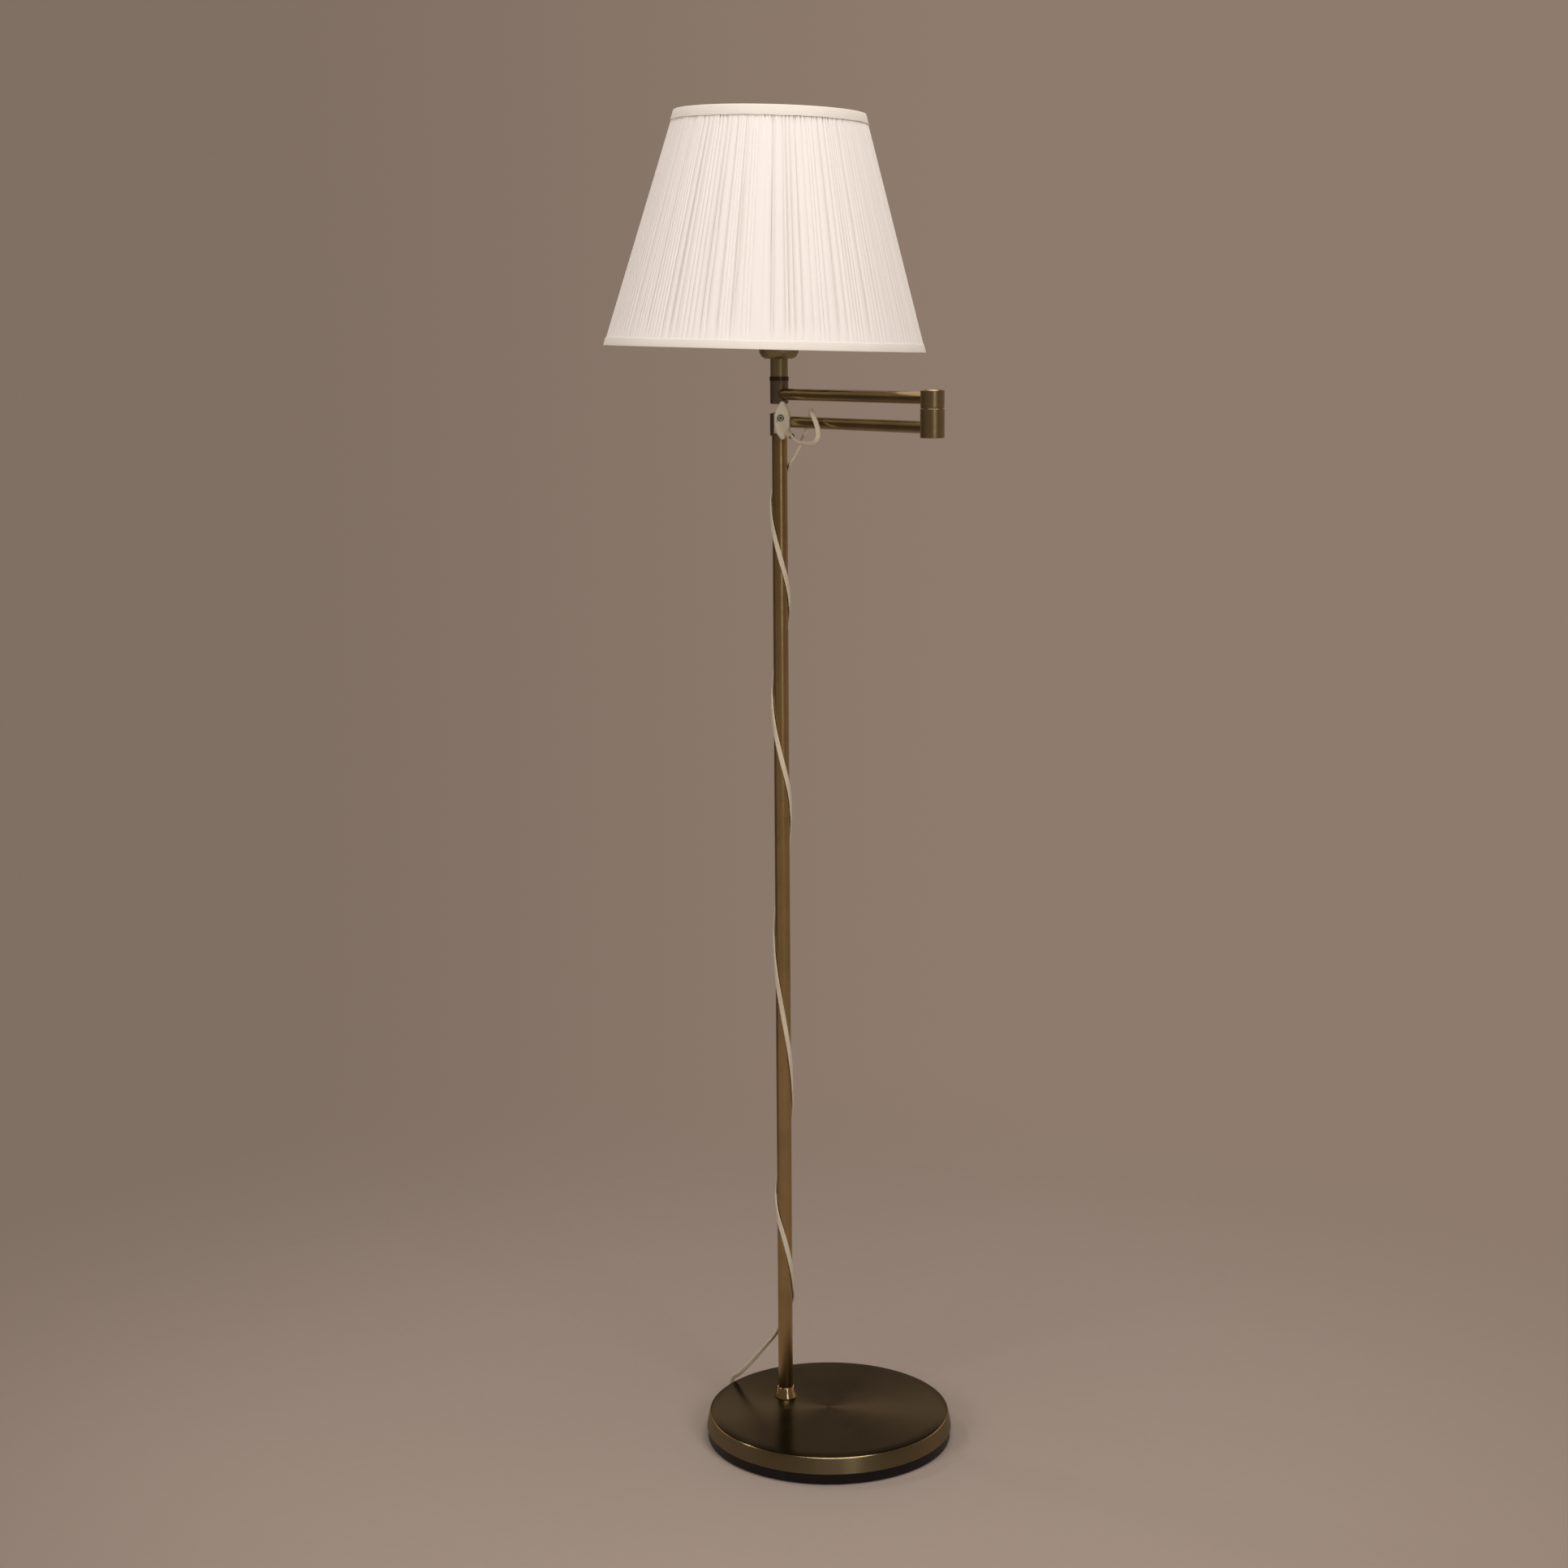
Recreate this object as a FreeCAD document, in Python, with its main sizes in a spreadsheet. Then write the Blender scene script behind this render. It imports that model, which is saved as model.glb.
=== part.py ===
"""A swing-arm floor lamp in antique brass, with a gathered fabric shade.

Millimetres, +Z up. The origin is the centre of the base's underside, on the floor.
The pole stands behind and to the left of that centre, and the two folded arms
point to the right and forward (+X, -Y).
"""
import FreeCAD, Part
import math
import os
from types import SimpleNamespace

import Sketcher
from FreeCAD import Placement, Rotation, Vector

# ------------------------------------------------------------------ driving dimensions
DIMENSIONS = {
    # round base
    "base_rim_radius": 130.1,
    "base_flare_radius": 133.3,
    "base_height": 30.6,
    "base_brass_low": 12.4,
    "base_sheet": 1.2,
    "base_edge": 0.9,
    "base_roll": 9.0,
    "base_drop": 1.2,
    "foot_radius": 131.8,
    "foot_inner_radius": 116.0,
    "pad_radius": 129.5,
    "pad_thick": 1.5,
    "weight_radius": 120.0,
    "weight_low": 12.0,
    # pole and its foot
    "pole_x": -47.1,
    "pole_y": 31.4,
    "pole_radius": 8.0,
    "pole_wall": 1.0,
    "pole_top": 1082.4,
    "collar_radius": 12.4,
    "collar_height": 11.4,
    "stud_radius": 5.0,
    "plug_height": 22.0,
    # shoulder, where the lower arm turns on the pole
    "sleeve_radius": 9.8,
    "sleeve_low": 1082.9,
    "sleeve_high": 1105.4,
    "sleeve_bore": 8.0,
    "pivot_radius": 4.0,
    "running_gap": 0.05,
    # arms
    "arm_angle": -57.0,
    "arm_length": 268.0,
    "arm_radius": 6.0,
    "arm_bore": 5.0,
    "lower_arm_height": 1097.6,
    "upper_arm_height": 1125.5,
    # elbow
    "elbow_radius": 11.6,
    "elbow_bore": 9.0,
    "elbow_low": 1087.9,
    "elbow_seam": 1116.0,
    "elbow_high": 1133.5,
    "nipple_radius": 5.0,
    "nipple_bore": 3.4,
    # lamp holder
    "holder_radius": 9.5,
    "holder_bore": 7.5,
    "holder_low": 1115.6,
    "bush_radius": 10.0,
    "bush_low": 1139.5,
    "bush_high": 1143.6,
    "stem_radius": 9.1,
    "cup_radius": 20.7,
    "cup_low": 1161.8,
    "cup_high": 1176.0,
    "socket_radius": 19.9,
    "socket_bore": 14.6,
    "socket_high": 1212.0,
    "fitter_height": 1181.0,
    "fitter_thick": 2.2,
    "bulb_radius": 30.0,
    "bulb_centre": 1262.0,
    "bulb_neck": 13.3,
    # shade, in its own frame: it sits a little off the holder's axis and leans
    "shade_offset": -14.7,
    "shade_low": 1171.7,
    "shade_lean": 1.69,
    "shade_bottom_radius": 166.6,
    "shade_top_radius": 98.3,
    "shade_height": 237.3,
    "trim_thick": 1.0,
    "trim_low_height": 8.0,
    "trim_top_height": 10.0,
    "pleat_depth": 3.0,
    "lining_thick": 0.6,
    "wire_radius": 1.5,
    # cord switch on the shoulder
    "switch_aside": 3.2,
    "switch_half_width": 8.3,
    "switch_low": 1079.6,
    "switch_high": 1118.6,
    "switch_split": 20.0,
    "switch_front": 29.0,
    "bracket_half_width": 5.5,
    "button_height": 1101.9,
    "button_radius": 2.15,
    # supply cord
    "cord_diameter": 5.2,
    "wind_radius": 11.8,
    "hank_bearing": 98.0,
    "hank_distance": 158.0,
    "hank_half_run": 26.0,
    "hank_outer": 23.6,
    "hank_inner": 12.9,
    "hank_low": 0.8,
    "hank_high": 6.4,
    "plug_bearing": 60.0,
    "plug_distance": 147.0,
}

# Heights at which the cord passes the pole's right, back, left and front in turn,
# from the top of the winding to its foot.
QUARTER_HEIGHTS = [
    1053.6, 1038.5, 1009.0, 956.6, 907.3, 860.2, 805.9, 743.5, 686.7,
    611.8, 545.2, 464.5, 378.5, 310.0, 259.3, 214.0, 152.5, 122.6,
]

# The cord's slack loop over the lower arm: distance along the arm from the pole's axis,
# offset to the arm's far side, and height.
LOOP_ROUTE = [
    (50.0, -13.0, 1078.5), (67.0, -13.5, 1077.0), (81.0, -13.5, 1077.0), (90.5, -13.0, 1081.0),
    (92.0, -12.5, 1089.0), (87.0, -12.0, 1098.0), (77.0, -9.5, 1106.0), (64.0, -3.0, 1110.0),
    (51.0, 5.5, 1109.0), (41.0, 11.5, 1101.0), (31.5, 13.0, 1089.5), (22.5, 12.5, 1077.5),
    (14.5, 12.0, 1065.5),
]

# From the winding's foot, over the base's rear left rim and down to the floor.
TAIL_ROUTE = [
    (-57.6, 40.9, 107.5), (-67.1, 46.9, 89.0), (-80.1, 55.4, 67.0), (-93.0, 64.4, 48.5),
    (-101.0, 72.0, 38.2), (-105.5, 79.5, 33.8), (-108.5, 85.5, 25.0), (-109.0, 89.5, 13.5),
    (-106.5, 95.0, 4.8), (-99.5, 103.0, 2.9), (-88.0, 112.5, 2.8), (-75.0, 121.5, 2.9),
    (-60.0, 128.5, 3.2), (-43.5, 132.5, 3.4),
]

# From the hank, over its outer turn and along to the plug.
END_ROUTE = [
    (-12.5, 141.6, 3.6), (-5.5, 141.4, 5.0), (2.5, 140.2, 8.4), (13.0, 138.3, 8.7),
    (24.0, 137.9, 5.6), (32.5, 141.6, 3.4), (40.5, 144.4, 4.6), (46.6, 142.8, 6.4),
]

SMALLEST_BODY = 1e-3


# ------------------------------------------------------------------ sizes from the sheet
class Size:
    """A length from the sheet: its number, and the expression that gives it."""

    def __init__(self, number, text):
        self.number = float(number)
        self.text = text

    def combine(self, other, sign, number, swap=False):
        other = as_size(other)
        left, right = (other, self) if swap else (self, other)
        return Size(number(left.number, right.number), f"({left.text} {sign} {right.text})")

    def __add__(self, other):
        return self.combine(other, "+", lambda a, b: a + b)

    def __radd__(self, other):
        return self.combine(other, "+", lambda a, b: a + b, swap=True)

    def __sub__(self, other):
        return self.combine(other, "-", lambda a, b: a - b)

    def __rsub__(self, other):
        return self.combine(other, "-", lambda a, b: a - b, swap=True)

    def __mul__(self, other):
        return self.combine(other, "*", lambda a, b: a * b)


def as_size(value):
    return value if isinstance(value, Size) else Size(value, f"{float(value):.6f}")


doc = FreeCAD.newDocument("SwingArmFloorLamp")
sheet = doc.addObject("Spreadsheet::Sheet", "Dims")
for row, (name, number) in enumerate(DIMENSIONS.items(), start=1):
    sheet.set(f"A{row}", name)
    sheet.set(f"B{row}", str(number))
    sheet.setAlias(f"B{row}", name)
doc.recompute()
dim = SimpleNamespace(**{name: Size(sheet.get(name), f"Dims.{name}") for name in DIMENSIONS})

POLE = (dim.pole_x, dim.pole_y)
CENTRE = (0.0, 0.0)
pole_axis = Vector(dim.pole_x.number, dim.pole_y.number, 0)
arm_turn = math.radians(dim.arm_angle.number)
along_arm = Vector(math.cos(arm_turn), math.sin(arm_turn), 0)
across_arm = Vector(-math.sin(arm_turn), math.cos(arm_turn), 0)
elbow_axis = pole_axis + along_arm * dim.arm_length.number
ELBOW = (elbow_axis.x, elbow_axis.y)

nodes = []


# ------------------------------------------------------------------ ways of making a piece
def keep(item):
    """Count an object as a finished piece of the lamp."""
    nodes.append(item)
    return item


def bind(item, name, value):
    value = as_size(value)
    item.setExpression(name, value.text)


def move_to(item, at, height=0.0):
    bind(item, "Placement.Base.x", at[0])
    bind(item, "Placement.Base.y", at[1])
    bind(item, "Placement.Base.z", height)


def turned(label, section, at=POLE, place=None):
    """A piece turned on a lathe, from its half section of (radius, height) corners."""
    body = doc.addObject("PartDesign::Body", label)
    sketch = body.newObject("Sketcher::SketchObject", f"{label}_section")
    plane = next(item for item in body.Origin.OriginFeatures if item.Role == "XZ_Plane")
    sketch.AttachmentSupport = [(plane, "")]
    sketch.MapMode = "FlatFace"
    corners = [(as_size(radius), as_size(height)) for radius, height in section]
    points = [Vector(radius.number, height.number, 0) for radius, height in corners]
    count = len(points)
    for index in range(count):
        sketch.addGeometry(Part.LineSegment(points[index], points[(index + 1) % count]), False)
    for index in range(count):
        following = (index + 1) % count
        sketch.addConstraint(Sketcher.Constraint("Coincident", index, 2, following, 1))
    for index, (radius, height) in enumerate(corners):
        for kind, size, axis in (("DistanceX", radius, -2), ("DistanceY", height, -1)):
            if size.number == 0.0:
                sketch.addConstraint(Sketcher.Constraint("PointOnObject", index, 1, axis))
                continue
            number = sketch.addConstraint(Sketcher.Constraint(kind, -1, 1, index, 1, size.number))
            sketch.setExpression(f"Constraints[{number}]", size.text)
    spin = body.newObject("PartDesign::Revolution", f"{label}_turn")
    spin.Profile = sketch
    spin.ReferenceAxis = (sketch, ["V_Axis"])
    spin.Angle = 360.0
    body.Tip = spin
    if place is not None:
        body.Placement = place
    else:
        move_to(body, at)
    return body


def ring(label, outer, inner, low, high, at=POLE, place=None):
    return turned(label, [(inner, low), (outer, low), (outer, high), (inner, high)], at, place)


def disc(label, radius, low, high, at=POLE):
    return turned(label, [(0.0, low), (radius, low), (radius, high), (0.0, high)], at)


def rod(label, radius, low, high, at=POLE):
    """A plain upright cylinder."""
    item = doc.addObject("Part::Cylinder", label)
    bind(item, "Radius", radius)
    bind(item, "Height", as_size(high) - low)
    move_to(item, at, low)
    return item


def bar(label, radius, start, end):
    """A round bar between two points."""
    item = doc.addObject("Part::Cylinder", label)
    bind(item, "Radius", radius)
    item.Height = (end - start).Length
    item.Placement = Placement(start, Rotation(Vector(0, 0, 1), end - start))
    return item


def hexagon(label, across_corners, low, high, at=POLE):
    item = doc.addObject("Part::Prism", label)
    item.Polygon = 6
    bind(item, "Circumradius", as_size(across_corners) * 0.5)
    bind(item, "Height", as_size(high) - low)
    move_to(item, at, low)
    return item


def fuse(label, pieces):
    item = doc.addObject("Part::MultiFuse", label)
    item.Shapes = pieces
    return item


def cut(label, base, *tools):
    """Take the tools away from the base."""
    item = doc.addObject("Part::Cut", label)
    item.Base = base
    item.Tool = tools[0] if len(tools) == 1 else fuse(f"{label}_tools", list(tools))
    return item


def nut(label, across_corners, bore, low, high, at=POLE):
    blank = hexagon(f"{label}_blank", across_corners, low, high, at)
    return cut(label, blank, rod(f"{label}_bore", bore, as_size(low) - 1, as_size(high) + 1, at))


def shaped(label, shape):
    """A piece whose form no primitive or sketch gives."""
    item = doc.addObject("Part::Feature", label)
    item.Shape = shape
    return item


def on_arm(along, aside, height):
    """A point given along the folded arms from the pole's axis."""
    return pole_axis + along_arm * along + across_arm * aside + Vector(0, 0, height)


# ------------------------------------------------------------------ cord work
def rounded_path(points):
    """Straight runs through the points, joined by arcs as large as the runs allow."""
    edges = []
    radii = []
    here = points[0]
    for before, corner, after in zip(points, points[1:], points[2:]):
        arriving = (corner - before).normalize()
        leaving = (after - corner).normalize()
        half_turn = arriving.getAngle(leaving) / 2
        reach = 0.45 * min((corner - before).Length, (after - corner).Length)
        radii.append(reach / math.tan(half_turn))
        start = corner - arriving * reach
        end = corner + leaving * reach
        chord_middle = (start + end) * 0.5
        drop = radii[-1] * (1 / math.cos(half_turn) - 1)
        middle = corner + (chord_middle - corner).normalize() * drop
        edges.append(Part.LineSegment(here, start).toShape())
        edges.append(Part.Arc(start, middle, end).toShape())
        here = end
    edges.append(Part.LineSegment(here, points[-1]).toShape())
    return Part.Wire(edges), radii


def cord_tube(label, points, diameter):
    """A round cord swept along its rounded path."""
    path, radii = rounded_path(points)
    direction = points[1] - points[0]
    section = Part.Wire([Part.Circle(points[0], direction, diameter / 2).toShape()])
    solid = path.makePipeShell([section], True, False)
    expected = math.pi * diameter ** 2 / 4 * path.Length
    if abs(solid.Volume / expected - 1) > 0.01:
        raise RuntimeError(f"{label}: the swept cord has the wrong volume")
    print(f"{label}: {path.Length:.0f} mm long, radii {min(radii):.1f} to {max(radii):.0f} mm")
    return shaped(label, solid)


def winding_points():
    """The cord's points round the pole, eight to a turn."""
    heights = []
    count = len(QUARTER_HEIGHTS)
    for index, height in enumerate(QUARTER_HEIGHTS):
        heights.append(height)
        if index + 1 < count:
            middle = (height + QUARTER_HEIGHTS[index + 1]) / 2
            if 0 < index < count - 2:
                beyond = (QUARTER_HEIGHTS[index - 1] + QUARTER_HEIGHTS[index + 2]) / 2
                middle += (middle - beyond) / 8
            heights.append(middle)
    radius = dim.wind_radius.number
    points = []
    for step, height in enumerate(heights):
        turn = math.radians(45 * step)
        spoke = Vector(math.cos(turn), math.sin(turn), 0) * radius
        points.append(pole_axis + spoke + Vector(0, 0, height))
    return points


def halfway(first, second):
    return (first + second) * 0.5


# ------------------------------------------------------------------ base
def make_base():
    """The weighted round base and the foot of the pole."""
    sheet_metal = dim.base_sheet
    rim = dim.base_rim_radius
    edge_height = dim.base_height - dim.base_drop
    blank = turned("base_cover_blank", [
        (0.0, dim.base_height - sheet_metal),
        (rim - dim.base_roll, dim.base_height - sheet_metal),
        (rim - sheet_metal, edge_height - sheet_metal),
        (dim.base_flare_radius - sheet_metal, dim.base_brass_low),
        (dim.base_flare_radius, dim.base_brass_low),
        (rim, edge_height - dim.base_edge),
        (rim - dim.base_edge, edge_height),
        (rim - dim.base_roll * 0.5, dim.base_height - dim.base_drop * 0.3),
        (rim - dim.base_roll, dim.base_height),
        (0.0, dim.base_height),
    ], CENTRE)
    hole = dim.stud_radius + 0.3
    keep(cut("base_cover", blank, rod("cover_hole", hole, 20.0, 40.0)))
    weight_top = dim.base_height - sheet_metal
    slab = rod("weight_slab", dim.weight_radius, dim.weight_low, weight_top, CENTRE)
    recess = rod("weight_recess", 14.0, 10.0, 21.0)
    keep(cut("base_weight", slab, rod("weight_hole", hole, 10.0, 40.0), recess))
    keep(ring("foot_ring", dim.foot_radius, dim.foot_inner_radius,
              dim.pad_thick, dim.weight_low, CENTRE))
    keep(disc("felt_pad", dim.pad_radius, 0.0, dim.pad_thick, CENTRE))
    keep(turned("foot_collar", [
        (dim.pole_radius, dim.base_height),
        (dim.collar_radius, dim.base_height),
        (dim.collar_radius, dim.base_height + 1.2),
        (dim.pole_radius + 0.8, dim.base_height + dim.collar_height),
        (dim.pole_radius, dim.base_height + dim.collar_height),
    ]))
    keep(rod("pole_stud", dim.stud_radius, 12.8, 48.0))
    keep(ring("stud_washer", 12.0, dim.stud_radius, 19.4, 21.0))
    keep(nut("stud_nut", 18.0, dim.stud_radius, 13.4, 19.4))


def make_pole():
    """The pole, the plugs in its ends and the pivot for the arm."""
    inside = dim.pole_radius - dim.pole_wall
    keep(ring("pole_tube", dim.pole_radius, inside, dim.base_height, dim.pole_top))
    keep(ring("pole_foot_plug", inside, dim.stud_radius,
              dim.base_height, dim.base_height + dim.plug_height))
    keep(turned("pole_head_plug", [
        (0.0, dim.pole_top - dim.plug_height),
        (inside, dim.pole_top - dim.plug_height),
        (inside, dim.pole_top),
        (dim.pivot_radius, dim.pole_top),
        (dim.pivot_radius, dim.pole_top - dim.plug_height * 0.8),
        (0.0, dim.pole_top - dim.plug_height * 0.8),
    ]))
    keep(ring("pivot_washer", 7.6, dim.pivot_radius, dim.pole_top, dim.pole_top + 0.4))
    floor = dim.sleeve_low + 5.0
    keep(turned("pivot_screw", [
        (0.0, dim.pole_top - dim.plug_height * 0.8),
        (dim.pivot_radius, dim.pole_top - dim.plug_height * 0.8),
        (dim.pivot_radius, floor + 0.3),
        (6.5, floor + 0.3),
        (6.5, floor + 3.5),
        (5.7, floor + 4.3),
        (0.0, floor + 4.3),
    ]))


# ------------------------------------------------------------------ lower arm
def arm_bore(label, height, near, far):
    """The cylinder that an arm's end leaves in a sleeve or knuckle."""
    return bar(label, dim.arm_radius, on_arm(near, 0, height), on_arm(far, 0, height))


def arm_tube(label, height, near, far):
    outer = bar(f"{label}_outside", dim.arm_radius, on_arm(near, 0, height), on_arm(far, 0, height))
    inner = bar(f"{label}_inside", dim.arm_bore,
                on_arm(near - 1, 0, height), on_arm(far + 1, 0, height))
    return cut(label, outer, inner)


def make_lower_arm():
    """The sleeve on the pole, the lower tube and the elbow's lower half."""
    height = dim.lower_arm_height.number
    length = dim.arm_length.number
    floor = dim.sleeve_low + 5.0
    hole = dim.pivot_radius + dim.running_gap
    sleeve = turned("pole_sleeve_blank", [
        (hole, dim.sleeve_low),
        (dim.sleeve_radius - 0.6, dim.sleeve_low),
        (dim.sleeve_radius, dim.sleeve_low + 0.6),
        (dim.sleeve_radius, dim.sleeve_high),
        (dim.sleeve_bore, dim.sleeve_high),
        (dim.sleeve_bore, floor),
        (hole, floor),
    ])
    wire_way = bar("sleeve_wire_way", 2.5, on_arm(0, 0, height), on_arm(0, 0, height) + Vector(0, -20, 0))
    keep(cut("pole_sleeve", sleeve, arm_bore("sleeve_arm_hole", height, 4, 14), wire_way))
    keep(turned("sleeve_cap", [
        (0.0, dim.sleeve_high - 2.4),
        (dim.sleeve_bore, dim.sleeve_high - 2.4),
        (dim.sleeve_bore, dim.sleeve_high),
        (dim.sleeve_radius, dim.sleeve_high),
        (dim.sleeve_radius - 0.6, dim.sleeve_high + 0.8),
        (dim.sleeve_radius - 3.5, dim.sleeve_high + 1.3),
        (0.0, dim.sleeve_high + 1.6),
    ]))
    near = dim.sleeve_bore.number + 0.05
    far = length - dim.elbow_bore.number - 0.05
    keep(arm_tube("lower_arm_tube", height, near, far))
    ceiling = dim.elbow_seam - 5.0
    half_gap = 0.15
    clearance = dim.nipple_radius + dim.running_gap
    knuckle = turned("elbow_lower_blank", [
        (dim.elbow_bore, dim.elbow_low),
        (dim.elbow_radius - 0.4, dim.elbow_low),
        (dim.elbow_radius + 0.1, dim.elbow_low + 0.6),
        (dim.elbow_radius + 0.1, dim.elbow_seam - half_gap - 0.5),
        (dim.elbow_radius - 0.4, dim.elbow_seam - half_gap),
        (clearance, dim.elbow_seam - half_gap),
        (clearance, ceiling),
        (dim.elbow_bore, ceiling),
    ], ELBOW)
    keep(cut("elbow_lower", knuckle, arm_bore("elbow_lower_hole", height, length - 16, length - 4)))
    keep(disc("elbow_bottom_cap", dim.elbow_bore, dim.elbow_low + 0.4, dim.elbow_low + 2.6, ELBOW))
    lead = [on_arm(-4, 0, height), on_arm(length - 12, 0, height),
            on_arm(length - 2, 0, height + 3), on_arm(length, 0, height + 9),
            on_arm(length, 0, dim.elbow_seam.number - 0.2)]
    keep(cord_tube("lower_lead", lead, 4.0))


# ------------------------------------------------------------------ upper arm
def make_upper_arm():
    """The elbow's upper half, the upper tube and the sleeve that carries the holder."""
    height = dim.upper_arm_height.number
    length = dim.arm_length.number
    half_gap = 0.15
    floor = dim.elbow_seam + 4.2
    knuckle = turned("elbow_upper_blank", [
        (dim.nipple_radius, dim.elbow_seam + half_gap),
        (dim.elbow_radius - 0.5, dim.elbow_seam + half_gap),
        (dim.elbow_radius - 0.1, dim.elbow_seam + half_gap + 0.5),
        (dim.elbow_radius - 0.1, dim.elbow_high - 0.8),
        (dim.elbow_radius - 0.9, dim.elbow_high),
        (dim.elbow_bore, dim.elbow_high),
        (dim.elbow_bore, floor),
        (dim.nipple_radius, floor),
    ], ELBOW)
    keep(cut("elbow_upper", knuckle, arm_bore("elbow_upper_hole", height, length - 16, length - 4)))
    keep(disc("elbow_top_cap", dim.elbow_bore, dim.elbow_high - 2.6, dim.elbow_high - 0.4, ELBOW))
    keep(ring("elbow_nipple", dim.nipple_radius, dim.nipple_bore,
              dim.elbow_seam - 10.0, dim.elbow_seam + 6.9, ELBOW))
    keep(nut("elbow_nut", 16.0, dim.nipple_radius,
             dim.elbow_seam - 9.6, dim.elbow_seam - 5.3, ELBOW))
    keep(nut("elbow_locknut", 16.0, dim.nipple_radius, floor, floor + 2.7, ELBOW))
    near = dim.holder_bore.number + 0.05
    far = length - dim.elbow_bore.number - 0.05
    keep(arm_tube("upper_arm_tube", height, near, far))
    sleeve = turned("holder_sleeve_blank", [
        (0.0, dim.holder_low),
        (dim.holder_radius - 1.2, dim.holder_low),
        (dim.holder_radius - 0.3, dim.holder_low + 0.5),
        (dim.holder_radius, dim.holder_low + 1.6),
        (dim.holder_radius, dim.bush_low),
        (dim.holder_bore, dim.bush_low),
        (dim.holder_bore, dim.holder_low + 3.0),
        (0.0, dim.holder_low + 3.0),
    ])
    keep(cut("holder_sleeve", sleeve, arm_bore("holder_arm_hole", height, 4, 14)))
    lead = [on_arm(length, 0, dim.elbow_seam.number + 0.2), on_arm(length, 0, height - 1.2),
            on_arm(length - 2.6, 0, height), on_arm(12, 0, height), on_arm(2, 0, height + 1.5),
            on_arm(0, 0, height + 7), on_arm(0, 0, dim.cup_high.number)]
    keep(cord_tube("upper_lead", lead, 4.0))


def make_holder():
    """The stem, cup and lampholder under the shade, and the bulb."""
    nipple = dim.nipple_radius
    keep(turned("holder_bush", [
        (nipple, dim.bush_low - 3.0),
        (dim.holder_bore, dim.bush_low - 3.0),
        (dim.holder_bore, dim.bush_low),
        (dim.bush_radius, dim.bush_low),
        (dim.bush_radius, dim.bush_high),
        (nipple, dim.bush_high),
    ]))
    keep(ring("holder_stem", dim.stem_radius, dim.stem_radius - 1.0, dim.bush_high, dim.cup_low))
    keep(ring("holder_nipple", nipple, dim.nipple_bore, dim.bush_low - 7.0, dim.cup_low + 6.0))
    keep(nut("holder_nut", 14.6, nipple, dim.bush_low - 7.0, dim.bush_low - 3.2))
    cup = dim.cup_radius
    keep(turned("holder_cup", [
        (nipple, dim.cup_low),
        (cup - 6.2, dim.cup_low),
        (cup - 2.6, dim.cup_low + 2.2),
        (cup - 0.5, dim.cup_low + 6.0),
        (cup, dim.cup_low + 9.5),
        (cup, dim.cup_high),
        (cup - 0.8, dim.cup_high),
        (cup - 0.8, dim.cup_low + 9.6),
        (cup - 1.3, dim.cup_low + 6.3),
        (cup - 3.2, dim.cup_low + 2.9),
        (cup - 6.5, dim.cup_low + 0.9),
        (nipple, dim.cup_low + 0.9),
    ]))
    keep(nut("cup_nut", 15.0, nipple, dim.cup_low + 0.9, dim.cup_low + 4.9))
    keep(turned("lampholder_body", [
        (3.6, dim.cup_low + 10.2),
        (dim.socket_radius - 0.4, dim.cup_low + 10.2),
        (dim.socket_radius - 0.4, dim.cup_high),
        (dim.socket_radius, dim.cup_high),
        (dim.socket_radius, dim.socket_high),
        (dim.socket_bore, dim.socket_high),
        (dim.socket_bore, dim.cup_high + 8.0),
        (3.6, dim.cup_high + 8.0),
    ]))
    keep(ring("lampholder_shell", dim.socket_bore - 0.1, dim.socket_bore - 0.7,
              dim.cup_high + 9.0, dim.socket_high - 2.0))
    keep(disc("lampholder_contact", 5.0, dim.cup_high + 8.0, dim.cup_high + 9.2))
    for label, low in (("shade_nut_lower", dim.fitter_height - 3.4),
                       ("shade_nut_upper", dim.fitter_height + dim.fitter_thick + 0.1)):
        keep(ring(label, 24.6, dim.socket_radius, low, low + 3.3))
    keep(turned("bulb_cap", [
        (0.0, dim.cup_high + 9.4),
        (4.6, dim.cup_high + 9.4),
        (dim.bulb_neck, dim.cup_high + 13.4),
        (dim.bulb_neck, dim.socket_high),
        (dim.bulb_neck - 0.8, dim.socket_high),
        (dim.bulb_neck - 0.8, dim.cup_high + 14.0),
        (4.2, dim.cup_high + 10.4),
        (0.0, dim.cup_high + 10.4),
    ]))
    keep(make_bulb_glass())


def make_bulb_glass():
    """A hollow round bulb that narrows to its cap."""
    glass = 0.8
    walls = []
    for name, skin in (("outside", 0.0), ("inside", glass)):
        ball = doc.addObject("Part::Sphere", f"bulb_ball_{name}")
        bind(ball, "Radius", dim.bulb_radius - skin)
        move_to(ball, POLE, dim.bulb_centre)
        neck = doc.addObject("Part::Cone", f"bulb_neck_{name}")
        bind(neck, "Radius1", dim.bulb_neck - skin)
        bind(neck, "Radius2", dim.bulb_radius * 0.9 - skin)
        low = dim.socket_high + 0.1 - skin
        bind(neck, "Height", dim.bulb_centre - dim.bulb_radius * 0.4 - low)
        move_to(neck, POLE, low)
        walls.append(fuse(f"bulb_{name}", [ball, neck]))
    return cut("bulb_glass", walls[0], walls[1])


# ------------------------------------------------------------------ shade
def shade_placement():
    """Where the shade's own frame stands: off the holder's axis, and leaning."""
    corner = pole_axis + Vector(dim.shade_offset.number, 0, dim.shade_low.number)
    return Placement(corner, Rotation(Vector(0, 1, 0), dim.shade_lean.number))


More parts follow.
